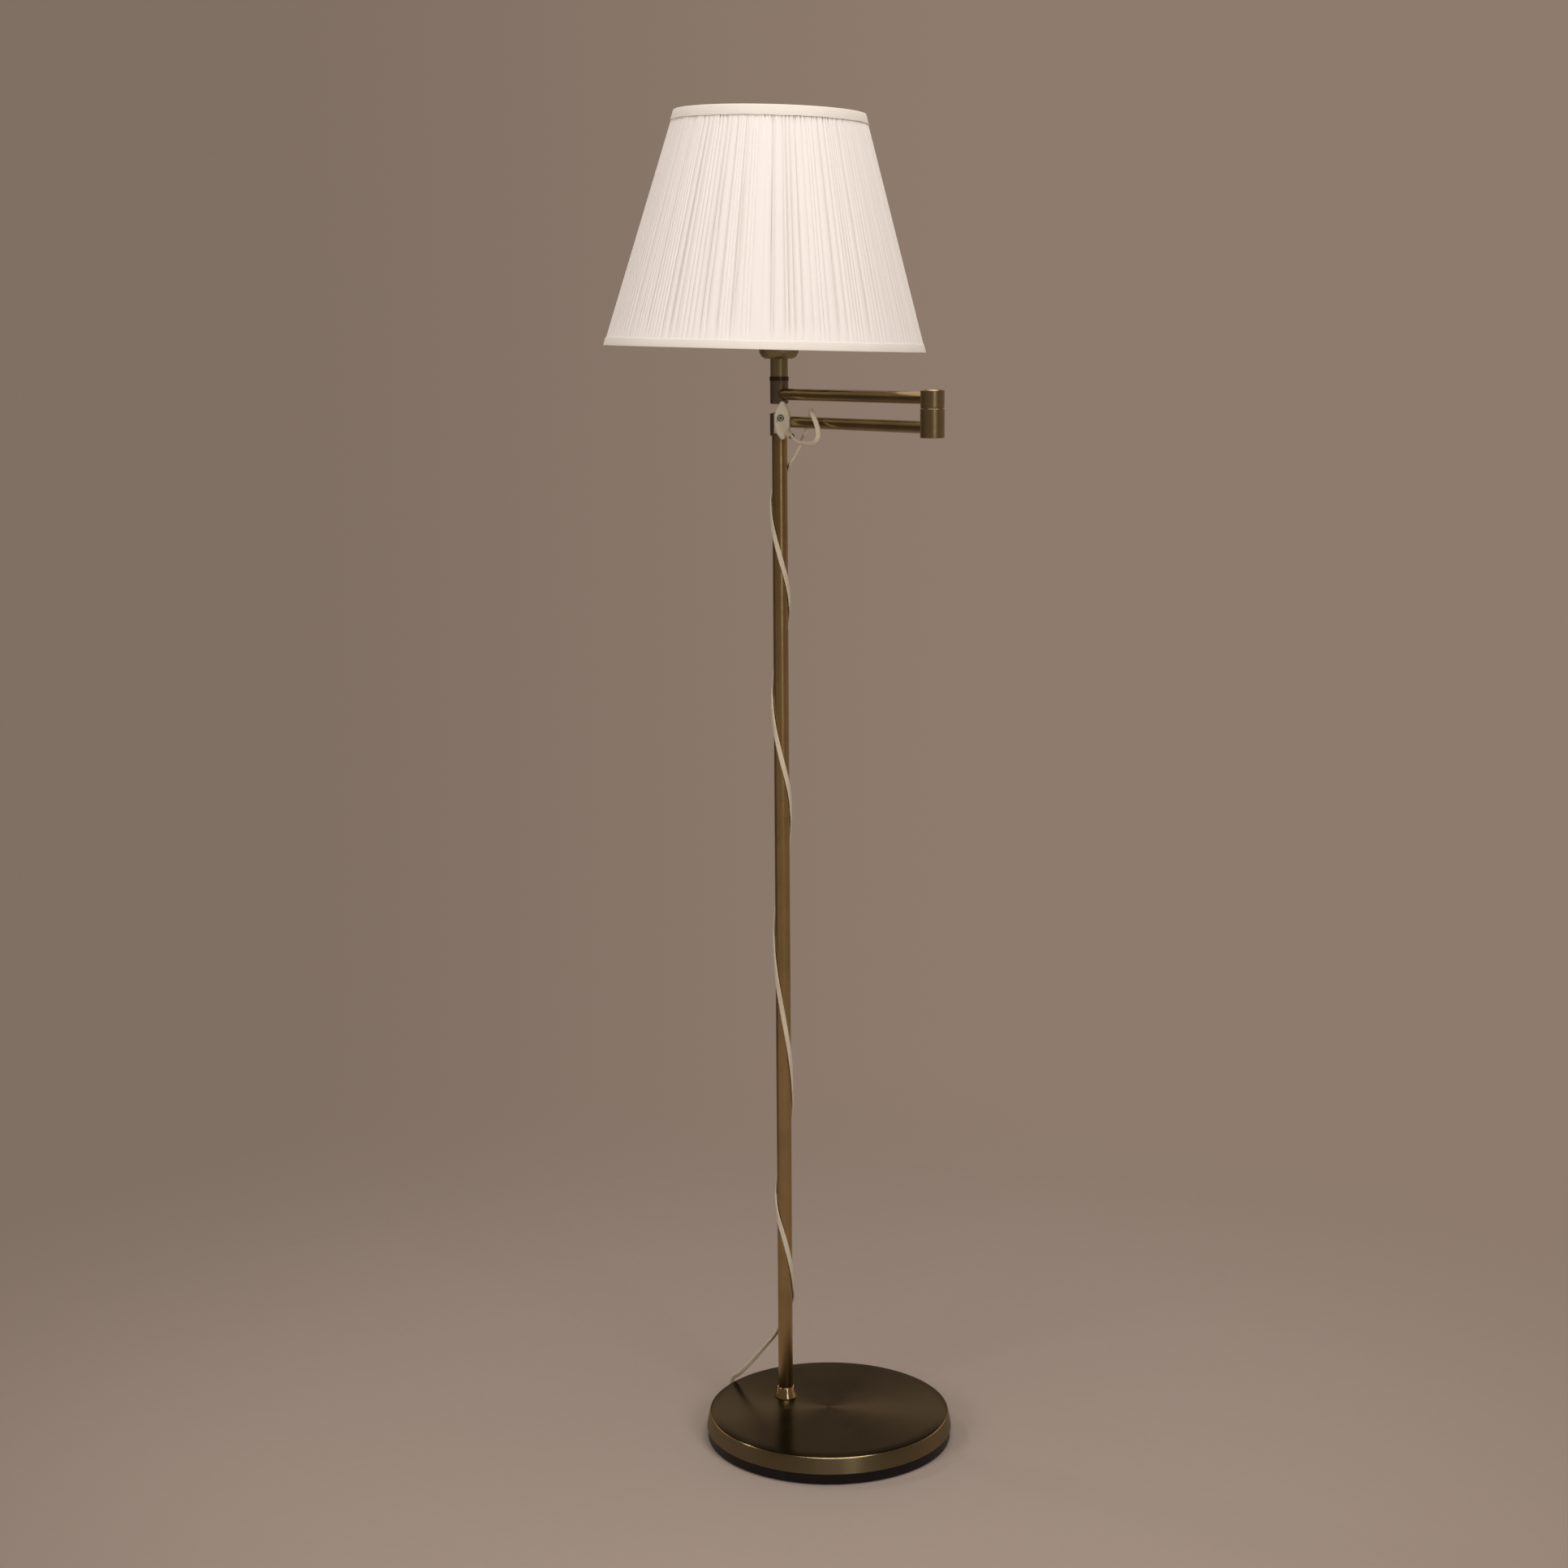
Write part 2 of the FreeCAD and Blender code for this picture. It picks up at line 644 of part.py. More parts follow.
def shell_section(inset, thick, low, high):
    """The half section of a band of the shade's cone, between two heights."""
    spread = dim.shade_bottom_radius.number - dim.shade_top_radius.number
    slope = spread / dim.shade_height.number

    def radius(height, depth):
        return dim.shade_bottom_radius - as_size(height) * slope - depth

    return [(radius(low, as_size(inset) + thick), low), (radius(low, inset), low),
            (radius(high, inset), high), (radius(high, as_size(inset) + thick), high)]


def make_shade():
    place = shade_placement()
    tall = dim.shade_height
    gap = 0.1
    cover_inset = dim.trim_thick + gap
    lining_inset = cover_inset + dim.pleat_depth + gap
    wire_inset = lining_inset + dim.lining_thick + dim.wire_radius + gap
    keep(turned("shade_cover", shell_section(cover_inset, dim.pleat_depth, 1.0, tall - 1.0),
                place=place))
    keep(turned("shade_lining", shell_section(lining_inset, dim.lining_thick, 1.0, tall - 1.0),
                place=place))
    keep(turned("trim_bottom", shell_section(0.0, dim.trim_thick, 0.0, dim.trim_low_height),
                place=place))
    keep(turned("trim_top", shell_section(0.0, dim.trim_thick, tall - dim.trim_top_height, tall),
                place=place))
    for label, radius, height in (
            ("shade_wire_bottom", dim.shade_bottom_radius - wire_inset - 1.0, 3.0),
            ("shade_wire_top", dim.shade_top_radius - wire_inset, tall - 3.0)):
        wire = doc.addObject("Part::Torus", label)
        bind(wire, "Radius1", radius)
        bind(wire, "Radius2", dim.wire_radius)
        lift = Placement(Vector(0, 0, as_size(height).number), Rotation())
        wire.Placement = place.multiply(lift)
        keep(wire)
    make_fitter(place, dim.shade_bottom_radius - wire_inset - 1.0)


def make_fitter(place, wire_ring_radius):
    """The flat ring that the holder's nuts grip, with three struts to the lower wire."""
    pieces = [ring("fitter_ring", 25.0, dim.socket_radius + 0.3,
                   dim.fitter_height, dim.fitter_height + dim.fitter_thick)]
    mid = dim.fitter_height.number + dim.fitter_thick.number / 2
    reach = wire_ring_radius.number - dim.wire_radius.number
    for turn in (90, 210, 330):
        spoke = Vector(math.cos(math.radians(turn)), math.sin(math.radians(turn)), 0)
        start = pole_axis + spoke * 24.0 + Vector(0, 0, mid)
        end = place.multVec(spoke * reach + Vector(0, 0, 3.0))
        pieces.append(bar(f"strut_{turn}", dim.wire_radius * 0.7, start, end))
    keep(fuse("shade_fitter", pieces))


# ------------------------------------------------------------------ switch
def almond(front, back):
    """A slab with two bowed sides that meet in a point below and above."""
    middle = pole_axis.x + dim.switch_aside.number
    low = dim.switch_low.number
    high = dim.switch_high.number
    wide = dim.switch_half_width.number
    y_back = pole_axis.y - back
    bottom = Vector(middle, y_back, low)
    top = Vector(middle, y_back, high)
    right = Part.Arc(bottom, Vector(middle + wide, y_back, (low + high) / 2), top).toShape()
    left = Part.Arc(top, Vector(middle - wide, y_back, (low + high) / 2), bottom).toShape()
    face = Part.Face(Part.Wire([right, left]))
    return face.extrude(Vector(0, back - front, 0))


def upright(radius, low, high):
    return Part.makeCylinder(radius, high - low, pole_axis + Vector(0, 0, low))


def make_switch():
    """The in-line switch on the front of the shoulder, its button and the cord's gland."""
    split = dim.switch_split.number
    front = dim.switch_front.number
    button = Vector(pole_axis.x + dim.switch_aside.number - 2.0, pole_axis.y, dim.button_height.number)
    forward = Vector(0, -1, 0)
    sleeve = upright(dim.sleeve_radius.number + 0.05, 1060.0, 1125.0)
    arm_height = dim.lower_arm_height.number
    arm = Part.makeCylinder(dim.arm_radius.number + 0.1, 60.0, on_arm(0, 0, arm_height), along_arm)
    wide = dim.bracket_half_width.number
    corner = pole_axis + Vector(-wide, -split, 1086.0)
    bracket = Part.makeBox(2 * wide, split - 7.0, 20.0, corner)
    keep(shaped("switch_back", bracket.cut(sleeve).cut(arm)))
    root = cord_start
    outward = (gland_end - root).normalize()
    cone = Part.makeCone(4.3, 3.2, 17.0, root, outward)
    bore = Part.makeCylinder(dim.cord_diameter.number / 2, 30.0, root - outward, outward)
    keep(shaped("cord_gland", cone.cut(bore)))
    cover = almond(front, split)
    rounded = cover.makeFillet(1.6, [edge for edge in cover.Edges
                                     if edge.BoundBox.YMax < pole_axis.y - front + 0.01])
    passage = Part.makeCylinder(dim.button_radius.number + 0.15, 12.0,
                                button + forward * split, forward)
    chamber = Part.makeCylinder(3.6, front - 3.0 - split, button + forward * split, forward)
    entry = Part.makeCone(4.3, 3.2, 17.0, root, outward)
    keep(shaped("switch_cover", rounded.cut(passage).cut(chamber).cut(entry).cut(arm)))
    tail = button + forward * (split + 2.4)
    stem = Part.makeCylinder(dim.button_radius.number, front + 1.2 - split - 2.4, tail, forward)
    flange = Part.makeCylinder(3.3, 1.2, tail + forward * 2.2, forward)
    keep(shaped("switch_button", stem.fuse(flange).removeSplitter()))


# ------------------------------------------------------------------ supply cord
def make_cord():
    diameter = dim.cord_diameter.number
    loop = [cord_start, gland_end] + [on_arm(*point) for point in LOOP_ROUTE]
    wind = winding_points()
    tail = [Vector(*point) for point in TAIL_ROUTE]
    top_break = halfway(loop[-1], wind[0])
    foot_break = halfway(wind[-1], tail[0])
    for label, points in (("cord_loop", loop + [top_break]),
                          ("cord_winding", [top_break] + wind + [foot_break]),
                          ("cord_tail", [foot_break] + tail)):
        keep(cord_tube(label, points, diameter))
    make_hank_and_plug(diameter)


def make_hank_and_plug(diameter):
    """The put-away length, tied in a flat hank, and the plug, close behind the base."""
    bearing = math.radians(dim.hank_bearing.number)
    away = Vector(math.cos(bearing), math.sin(bearing), 0)
    along = Vector(math.sin(bearing), -math.cos(bearing), 0)
    centre = away * dim.hank_distance.number

    def spot(run, aside, height):
        return centre + along * run + away * aside + Vector(0, 0, height)

    def track(radius, low, high):
        """A slab with straight sides and round ends."""
        half = dim.hank_half_run.number
        corners = [spot(-half, -radius, low), spot(half, -radius, low),
                   spot(half, radius, low), spot(-half, radius, low)]
        edges = [Part.LineSegment(corners[0], corners[1]).toShape(),
                 Part.Arc(corners[1], spot(half + radius, 0, low), corners[2]).toShape(),
                 Part.LineSegment(corners[2], corners[3]).toShape(),
                 Part.Arc(corners[3], spot(-half - radius, 0, low), corners[0]).toShape()]
        return Part.Face(Part.Wire(edges)).extrude(Vector(0, 0, high - low))

    low = dim.hank_low.number
    high = dim.hank_high.number
    outer = track(dim.hank_outer.number, low, high)
    keep(shaped("cord_hank", outer.cut(track(dim.hank_inner.number, low - 1, high + 1))))
    width = 2 * dim.hank_outer.number

    def block(length, wide, tall, bottom):
        box = Part.makeBox(length, wide, tall, Vector(-length / 2, -wide / 2, bottom))
        turn = Rotation(along, away, Vector(0, 0, 1), "ZXY")
        box.Placement = Placement(centre, turn).multiply(box.Placement)
        return box

    band = block(12.0, width + 1.8, high + 0.8, 0.0)
    keep(shaped("cord_tie", band.cut(block(14.0, width + 0.2, high - low + 0.1, low - 0.05))))
    bearing = math.radians(dim.plug_bearing.number)
    plug_middle = Vector(math.cos(bearing), math.sin(bearing), 0) * dim.plug_distance.number
    heading = Vector(math.sin(bearing), -math.cos(bearing), 0)
    sideways = Vector(math.cos(bearing), math.sin(bearing), 0)
    root = plug_middle - heading * 27.0

    def plug_face(half_width, half_height, distance):
        """A rounded oblong across the plug, at a distance from its cord end."""
        middle = root + heading * distance + Vector(0, 0, 7.0)
        bend = half_height
        inner = half_width - bend
        right = sideways * inner
        up = Vector(0, 0, half_height)
        edges = [Part.LineSegment(middle - right - up, middle + right - up).toShape(),
                 Part.Arc(middle + right - up, middle + sideways * half_width,
                          middle + right + up).toShape(),
                 Part.LineSegment(middle + right + up, middle - right + up).toShape(),
                 Part.Arc(middle - right + up, middle - sideways * half_width,
                          middle - right - up).toShape()]
        return Part.Wire(edges)

    body = Part.makeLoft([plug_face(5.0, 3.4, 0.0), plug_face(8.5, 5.2, 10.0),
                          plug_face(13.0, 6.8, 20.0), plug_face(13.0, 6.8, 35.0)], True, True)
    keep(shaped("plug_body", body))
    pins = []
    for side in (-9.3, 9.3):
        foot = root + heading * 35.0 + sideways * side + Vector(0, 0, 7.0)
        pins.append(Part.makeCylinder(2.0, 19.0, foot, heading))
    keep(shaped("plug_pins", Part.makeCompound(pins)))
    end = [Vector(*point) for point in END_ROUTE]
    end.append(root + Vector(0, 0, 7.0))
    keep(cord_tube("cord_end", end, diameter))


cord_start = pole_axis + Vector(5.0, -22.5, 1089.0)
gland_end = pole_axis + Vector(13.0, -35.0, 1083.0)

make_base()
make_pole()
make_lower_arm()
make_upper_arm()
make_holder()
make_shade()
make_switch()
make_cord()

# ------------------------------------------------------------------ check and write
doc.recompute()
failed = [item.Label for item in doc.Objects if {"Invalid", "Error"} & set(item.State)]
for item in nodes:
    shape = item.Shape
    if shape.isNull() or not shape.isValid() or shape.Volume < SMALLEST_BODY:
        failed.append(item.Label)
if failed:
    raise RuntimeError("failed objects: " + ", ".join(failed))

os.makedirs("parts", exist_ok=True)
for item in nodes:
    item.Shape.exportStep(os.path.join("parts", f"{item.Label}.step"))
print(f"{len(nodes)} nodes written")
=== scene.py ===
"""A swing-arm floor lamp: its finishes, its pleated shade, its cord and its small fittings."""

import bisect
import math
import random

import bmesh
import bpy
from mathutils import Matrix, Vector


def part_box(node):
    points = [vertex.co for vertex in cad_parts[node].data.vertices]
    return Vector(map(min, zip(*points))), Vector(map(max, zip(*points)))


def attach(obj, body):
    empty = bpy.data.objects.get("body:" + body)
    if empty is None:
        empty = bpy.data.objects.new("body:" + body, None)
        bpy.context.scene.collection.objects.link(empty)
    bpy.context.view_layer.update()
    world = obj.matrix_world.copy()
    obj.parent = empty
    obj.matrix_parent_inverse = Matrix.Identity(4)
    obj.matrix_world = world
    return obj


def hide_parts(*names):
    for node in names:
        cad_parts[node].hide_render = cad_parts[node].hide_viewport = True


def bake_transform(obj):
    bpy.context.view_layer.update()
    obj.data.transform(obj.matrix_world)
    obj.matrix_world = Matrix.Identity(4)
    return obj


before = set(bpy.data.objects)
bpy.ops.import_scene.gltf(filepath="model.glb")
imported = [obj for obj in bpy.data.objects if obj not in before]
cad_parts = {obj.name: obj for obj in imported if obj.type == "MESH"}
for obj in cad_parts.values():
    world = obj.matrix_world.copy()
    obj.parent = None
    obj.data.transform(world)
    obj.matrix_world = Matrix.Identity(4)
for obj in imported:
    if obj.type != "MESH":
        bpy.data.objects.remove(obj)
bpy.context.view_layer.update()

MM = 0.001
UP = Vector((0, 0, 1))
FORWARD = Vector((0, 1, 0))
SHARP_EDGE = math.radians(50)
LINE_STEPS = 8
SAME_POINT = 1e-7


# ------------------------------------------------------------------ places, from the frame
def middle(node):
    low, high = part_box(node)
    return (low + high) / 2


def flat(point, height=0.0):
    return Vector((point.x, point.y, height))


pole = flat(middle("pole_tube"))
elbow = flat(middle("elbow_lower"))
base = flat(middle("base_cover"))
along_arm = (elbow - pole).normalized()
across_arm = UP.cross(along_arm)


def by_pole(x, y, z):
    return pole + Vector((x, y, z))


def on_arm(along, aside, height):
    return pole + along_arm * along + across_arm * aside + UP * height


def bearing(degrees):
    """The direction away from the base's centre, and the one across it to the right."""
    turn = math.radians(degrees)
    away = Vector((math.cos(turn), math.sin(turn), 0))
    return away, Vector((away.y, -away.x, 0))


# ------------------------------------------------------------------ mesh work
def placed(name, data, place=Matrix.Identity(4)):
    made = bpy.data.objects.new(name, data)
    made.matrix_world = place
    bpy.context.scene.collection.objects.link(made)
    return made


def mesh_object(name, mesh, paint):
    """Turns a bmesh into an object in one material."""
    data = bpy.data.meshes.new(name)
    mesh.to_mesh(data)
    mesh.free()
    data.materials.append(paint)
    return placed(name, data)


def piece(name, mesh, body, paint, replaced):
    """Turns a bmesh into a named piece that rides on a body, or on none if no body is given."""
    bmesh.ops.recalc_face_normals(mesh, faces=mesh.faces)
    for edge in mesh.edges:
        if len(edge.link_faces) == 2 and edge.calc_face_angle() > SHARP_EDGE:
            edge.smooth = False
    made = mesh_object(name, mesh, paint)
    made.data.shade_smooth()
    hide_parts(*replaced)
    if body:
        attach(made, body)
    return made


def smooth_line(points):
    """Points along a NURBS spline that has these control points."""
    curve = bpy.data.curves.new("route", "CURVE")
    curve.dimensions = "3D"
    spline = curve.splines.new("NURBS")
    spline.points.add(len(points) - 1)
    for place, point in zip(spline.points, points):
        place.co = (*point, 1)
    spline.use_endpoint_u = True
    spline.order_u = 3
    spline.resolution_u = LINE_STEPS
    holder = placed("route", curve)
    bpy.context.view_layer.update()
    line = bpy.data.meshes.new_from_object(holder)
    found = [vertex.co.copy() for vertex in line.vertices]
    bpy.data.objects.remove(holder)
    bpy.data.meshes.remove(line)
    return found


def loft(rings, closed=False):
    """A skin through rings of points, with its ends capped unless it closes on itself."""
    mesh = bmesh.new()
    skins = [[mesh.verts.new(point) for point in ring] for ring in rings]
    pairs = list(zip(skins, skins[1:]))
    if closed:
        pairs.append((skins[-1], skins[0]))
    for first, second in pairs:
        for here in range(len(first)):
            after = (here + 1) % len(first)
            mesh.faces.new((first[here], first[after], second[after], second[here]))
    if not closed:
        mesh.faces.new(reversed(skins[0]))
        mesh.faces.new(skins[-1])
    return mesh


def softened(corners, steps):
    """An outline of (radius, height, softness) corners, each rounded over its softness in steps."""
    outline = []
    for index, (x, y, soft) in enumerate(corners):
        here = Vector((x, y))
        if not soft:
            outline.append((x, y))
            continue
        before = Vector(corners[index - 1][:2]) - here
        after = Vector(corners[(index + 1) % len(corners)][:2]) - here
        first = here + before.normalized() * min(soft, before.length / 2)
        last = here + after.normalized() * min(soft, after.length / 2)
        for step in range(steps + 1):
            part = step / steps
            spot = first * (1 - part) ** 2 + here * 2 * part * (1 - part) + last * part ** 2
            outline.append((spot.x, spot.y))
    return outline


def revolved(section, columns, place):
    """A section of (radius, height) points turned about an axis. It may change with the angle."""
    rings = []
    for column in range(columns):
        angle = math.tau * column / columns
        spoke = Vector((math.cos(angle), math.sin(angle), 0))
        points = section(angle) if callable(section) else section
        rings.append([place @ (spoke * radius + UP * height) for radius, height in points])
    mesh = loft(rings, closed=True)
    # Points that meet on the axis become one, and an edge that this leaves without faces goes.
    bmesh.ops.remove_doubles(mesh, verts=mesh.verts, dist=SAME_POINT)
    bmesh.ops.delete(mesh, geom=[edge for edge in mesh.edges if not edge.link_faces], context="EDGES")
    return mesh


# ------------------------------------------------------------------ shader work
class Wire:
    """An output of a shader node. Arithmetic on wires and numbers adds Math nodes."""

    def __init__(self, paint, socket):
        self.paint = paint
        self.socket = socket

    def maths(self, operation, first, second=0.0):
        return self.paint.node("ShaderNodeMath", {"operation": operation}, {0: first, 1: second})

    def __add__(self, other):
        return self.maths("ADD", self, other)

    def __radd__(self, other):
        return self.maths("ADD", other, self)

    def __sub__(self, other):
        return self.maths("SUBTRACT", self, other)

    def __rsub__(self, other):
        return self.maths("SUBTRACT", other, self)

    def __mul__(self, other):
        return self.maths("MULTIPLY", self, other)

    def __rmul__(self, other):
        return self.maths("MULTIPLY", other, self)

    def __pow__(self, other):
        return self.maths("POWER", self, other)

    def __rpow__(self, other):
        return self.maths("POWER", other, self)

    def sine(self):
        return self.maths("SINE", self)


class Paint:
    """A material, or the world, being made from nodes."""

    def __init__(self, owner):
        owner.use_nodes = True
        self.owner = owner
        self.tree = owner.node_tree
        self.tree.nodes.clear()

    def node(self, kind, settings=None, sockets=None, out=0):
        """Adds a node: first its settings, then the values or links of its sockets."""
        made = self.tree.nodes.new(kind)
        for name, value in (settings or {}).items():
            setattr(made, name, value)
        for name, value in (sockets or {}).items():
            if isinstance(value, Wire):
                self.tree.links.new(value.socket, made.inputs[name])
            else:
                made.inputs[name].default_value = value
        return Wire(self, made.outputs[out]) if made.outputs else None

    def place(self):
        """The point on the piece, in the frame's own metres."""
        return self.node("ShaderNodeTexCoord", out="Object")

    def vector(self, operation, first, second, out=0):
        return self.node("ShaderNodeVectorMath", {"operation": operation}, {0: first, 1: second}, out)

    def parts(self, vector):
        split = self.node("ShaderNodeSeparateXYZ", sockets={0: vector}).socket.node
        return [Wire(self, output) for output in split.outputs]

    def joined(self, x, y, z):
        return self.node("ShaderNodeCombineXYZ", sockets={0: x, 1: y, 2: z})

    def noise(self, at, scale, detail, roughness=0.5):
        return self.node("ShaderNodeTexNoise", {"normalize": True},
                         {"Vector": at, "Scale": scale, "Detail": detail, "Roughness": roughness})

    def mask(self, value, low, high):
        """0 below low and 1 above high, smooth between."""
        return self.node("ShaderNodeMapRange", {"interpolation_type": "SMOOTHSTEP"},
                         {"Value": value, "From Min": low, "From Max": high})

    def mix(self, first, second, share):
        return self.node("ShaderNodeMix", {"data_type": "RGBA"},
                         {"Factor": share, 6: first, 7: second}, out=2)

    def bump(self, height, distance, strength, normal=None):
        sockets = {"Height": height, "Distance": distance, "Strength": strength}
        if normal:
            sockets["Normal"] = normal
        return self.node("ShaderNodeBump", sockets=sockets)

    def finish(self, **sockets):
        """Ends the material in a Principled shader. Underscores in names stand for spaces."""
        named = {name.replace("_", " "): value for name, value in sockets.items()}
        shader = self.node("ShaderNodeBsdfPrincipled", sockets=named)
        self.node("ShaderNodeOutputMaterial", sockets={"Surface": shader})
        return self.owner


def new_paint(name):
    return Paint(bpy.data.materials.new(name))


def colour(red, green, blue):
    return (red, green, blue, 1.0)


def scaled(tone, gain):
    """A (red, green, blue) tone made darker, or brighter by a gain over 1, as a colour."""
    return colour(*[part * gain for part in tone])


# ------------------------------------------------------------------ the base's measures
BASE_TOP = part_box("base_cover")[1].z
BASE_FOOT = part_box("base_cover")[0].z
BASE_REACH = (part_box("base_cover")[1].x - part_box("base_cover")[0].x) / 2
BASE_RIM = BASE_REACH - 3.2 * MM
SPUN_METAL = 1.2 * MM
PAD_REACH = (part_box("felt_pad")[1].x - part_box("felt_pad")[0].x) / 2
PAD_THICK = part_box("felt_pad")[1].z


# ------------------------------------------------------------------ finishes
def brass(name, bright, dull, roughness, grain, coat=0.2, edge=0.25, age=0.5):
    """Lacquered brass with fine lines along its grain, cloudy ageing and handled spots."""
    paint = new_paint(name)
    at = paint.place()
    run = paint.vector("DOT_PRODUCT", at, grain, out="Value")
    squeezed = paint.node("ShaderNodeVectorMath", {"operation": "SCALE"}, {0: grain, "Scale": run * 0.985})
    drawn = paint.noise(paint.vector("SUBTRACT", at, squeezed), 1500.0, 2.0)
    cloud = paint.noise(at, 22.0, 3.0)
    blot = paint.mask(paint.noise(at, 70.0, 3.0, 0.6), 0.58, 0.78)
    aged = paint.mask(cloud + (drawn - 0.5) * 0.12, 0.42 - age * 0.25, 0.92 - age * 0.2)
    tone = paint.mix(colour(*bright), colour(*dull), aged)
    stained = paint.mix(tone, scaled(dull, 0.6), blot * 0.22)
    rough = roughness + (drawn - 0.5) * 0.05 + aged * 0.03 + blot * 0.05
    soft = paint.node("ShaderNodeBevel", {"samples": 6}, {"Radius": edge * MM})
    lines = paint.bump(drawn, 0.004 * MM, 0.5, soft)
    return paint.finish(Base_Color=stained, Metallic=1.0, Roughness=rough, Normal=lines,
                        Coat_Weight=coat, Coat_Roughness=0.15)


def turned_bronze(name):
    """The base's cover: dark bronze with the lathe's rings, a lighter wall, and a brighter edge that is
    partly wear and partly a painted highlight.
    """
    paint = new_paint(name)
    at = paint.place()
    x, y, _ = paint.parts(paint.vector("SUBTRACT", at, tuple(base)))
    radius = (x * x + y * y) ** 0.5
    rings = paint.noise(paint.joined(radius, 0.0, 0.0), 520.0, 2.0, 0.6)
    wide_rings = paint.noise(paint.joined(radius, 0.0, 3.0), 90.0, 2.0)
    cloud = paint.noise(at, 11.0, 3.0)
    smear = paint.mask(paint.noise(at, 26.0, 3.0, 0.6), 0.45, 0.8)
    wall = paint.mask(radius, BASE_RIM - 0.4 * MM, BASE_RIM + 0.2 * MM)
    top = paint.mix(colour(0.047, 0.0355, 0.0155), colour(0.036, 0.027, 0.012), cloud)
    side = paint.mix(colour(0.265, 0.212, 0.118), colour(0.21, 0.168, 0.094), cloud)
    tone = paint.mix(top, side, wall)
    # Partly real wear and partly a painted highlight: a bright brass band painted round the roll of the edge.
    edge = paint.mask(radius, BASE_RIM - 1.3 * MM, BASE_RIM - 0.5 * MM) * (1 - wall)
    edge_wear_and_highlight = paint.mix(tone, colour(0.60, 0.46, 0.26), edge * 0.7)
    rough = 0.22 + rings * 0.035 + wide_rings * 0.02 + smear * 0.03 + wall * 0.12
    grooves = paint.bump(rings, 0.010 * MM, 0.8)
    return paint.finish(Base_Color=edge_wear_and_highlight, Metallic=1.0, Roughness=rough, Normal=grooves,
                        Anisotropic=0.9, Anisotropic_Rotation=0.25,
                        Specular_Tint=colour(0.74, 0.74, 0.70))


def plain_metal(name, tone, roughness, scale=420.0):
    """Bare metal with fine scratches and a little tarnish."""
    paint = new_paint(name)
    at = paint.place()
    fine = paint.noise(at, scale, 4.0, 0.65)
    tarnish = paint.mask(paint.noise(at, 60.0, 3.0), 0.45, 0.7)
    shade = paint.mix(colour(*tone), scaled(tone, 0.6), tarnish * 0.6)
    soft = paint.node("ShaderNodeBevel", {"samples": 4}, {"Radius": 0.2 * MM})
    return paint.finish(Base_Color=shade, Metallic=1.0, Roughness=roughness + (fine - 0.5) * 0.2,
                        Normal=paint.bump(fine, 0.02 * MM, 0.6, soft))


def moulding(name, tone, roughness, grime=0.3):
    """Moulded plastic: a fine skin, faint mottling and grime."""
    paint = new_paint(name)
    at = paint.place()
    skin = paint.noise(at, 900.0, 3.0, 0.6)
    mottle = paint.noise(at, 130.0, 3.0, 0.6)
    dirty = paint.mask(mottle, 0.52, 0.75)
    shade = paint.mix(colour(*tone), scaled(tone, 0.62), dirty * grime)
    soft = paint.node("ShaderNodeBevel", {"samples": 4}, {"Radius": 0.25 * MM})
    return paint.finish(Base_Color=shade, Roughness=roughness + (skin - 0.5) * 0.12 + dirty * 0.1,
                        Normal=paint.bump(skin, 0.03 * MM, 0.5, soft), IOR=1.46)


def dotted_button(name):
    """The push button: the cover's own moulding, with a dark spot of painted shade for a hollow in its
    middle.
    """
    paint = new_paint(name)
    at = paint.place()
    x, _, z = paint.parts(paint.vector("SUBTRACT", at, tuple(middle("switch_button"))))
    skin = paint.noise(at, 900.0, 3.0, 0.6)
    # Painted shade: a dark spot in the middle stands in for the shade of a hollow there.
    painted_hollow_shade = paint.mask((x * x + z * z) ** 0.5, 1.9 * MM, 1.3 * MM)
    tone = paint.mix(colour(0.46, 0.415, 0.33), colour(0.045, 0.042, 0.045), painted_hollow_shade)
    return paint.finish(Base_Color=tone, Roughness=0.4 + skin * 0.1,
                        Normal=paint.bump(skin, 0.03 * MM, 0.5))


def flex(name):
    """The cord's soft cream sheath, yellowed and a little dirty where it is handled."""
    paint = new_paint(name)
    at = paint.place()
    fine = paint.noise(at, 700.0, 3.0, 0.6)
    patches = paint.mask(paint.noise(at, 24.0, 4.0, 0.6), 0.4, 0.7)
    specks = paint.mask(paint.noise(at, 330.0, 2.0), 0.66, 0.74)
    tone = paint.mix(colour(0.67, 0.585, 0.45), colour(0.59, 0.505, 0.375), patches)
    marked = paint.mix(tone, colour(0.20, 0.15, 0.10), specks * 0.35)
    return paint.finish(Base_Color=marked, Roughness=0.42 + patches * 0.1 + (fine - 0.5) * 0.12,
                        Normal=paint.bump(fine, 0.05 * MM, 0.5), IOR=1.5)


def felt(name):
    """Black felt, its fibres standing a little proud."""
    paint = new_paint(name)
    at = paint.place()
    fibre = paint.noise(at, 1400.0, 5.0, 0.75)
    tone = paint.mix(colour(0.012, 0.012, 0.013), colour(0.035, 0.033, 0.032), fibre)
    return paint.finish(Base_Color=tone, Roughness=0.95, Normal=paint.bump(fibre, 0.3 * MM, 0.7),
                        Sheen_Weight=0.4, Sheen_Roughness=0.5)


def enamel(name):
    """Black stoved enamel with a slight orange peel, dusty in patches."""
    paint = new_paint(name)
    at = paint.place()
    peel = paint.noise(at, 260.0, 2.0)
    dust = paint.mask(paint.noise(at, 70.0, 4.0, 0.7), 0.5, 0.8)
    tone = paint.mix(colour(0.006, 0.005, 0.004), colour(0.03, 0.026, 0.022), dust * 0.4)
    return paint.finish(Base_Color=tone, Roughness=0.42 + dust * 0.2,
                        Normal=paint.bump(peel, 0.06 * MM, 0.5), Specular_IOR_Level=0.25)


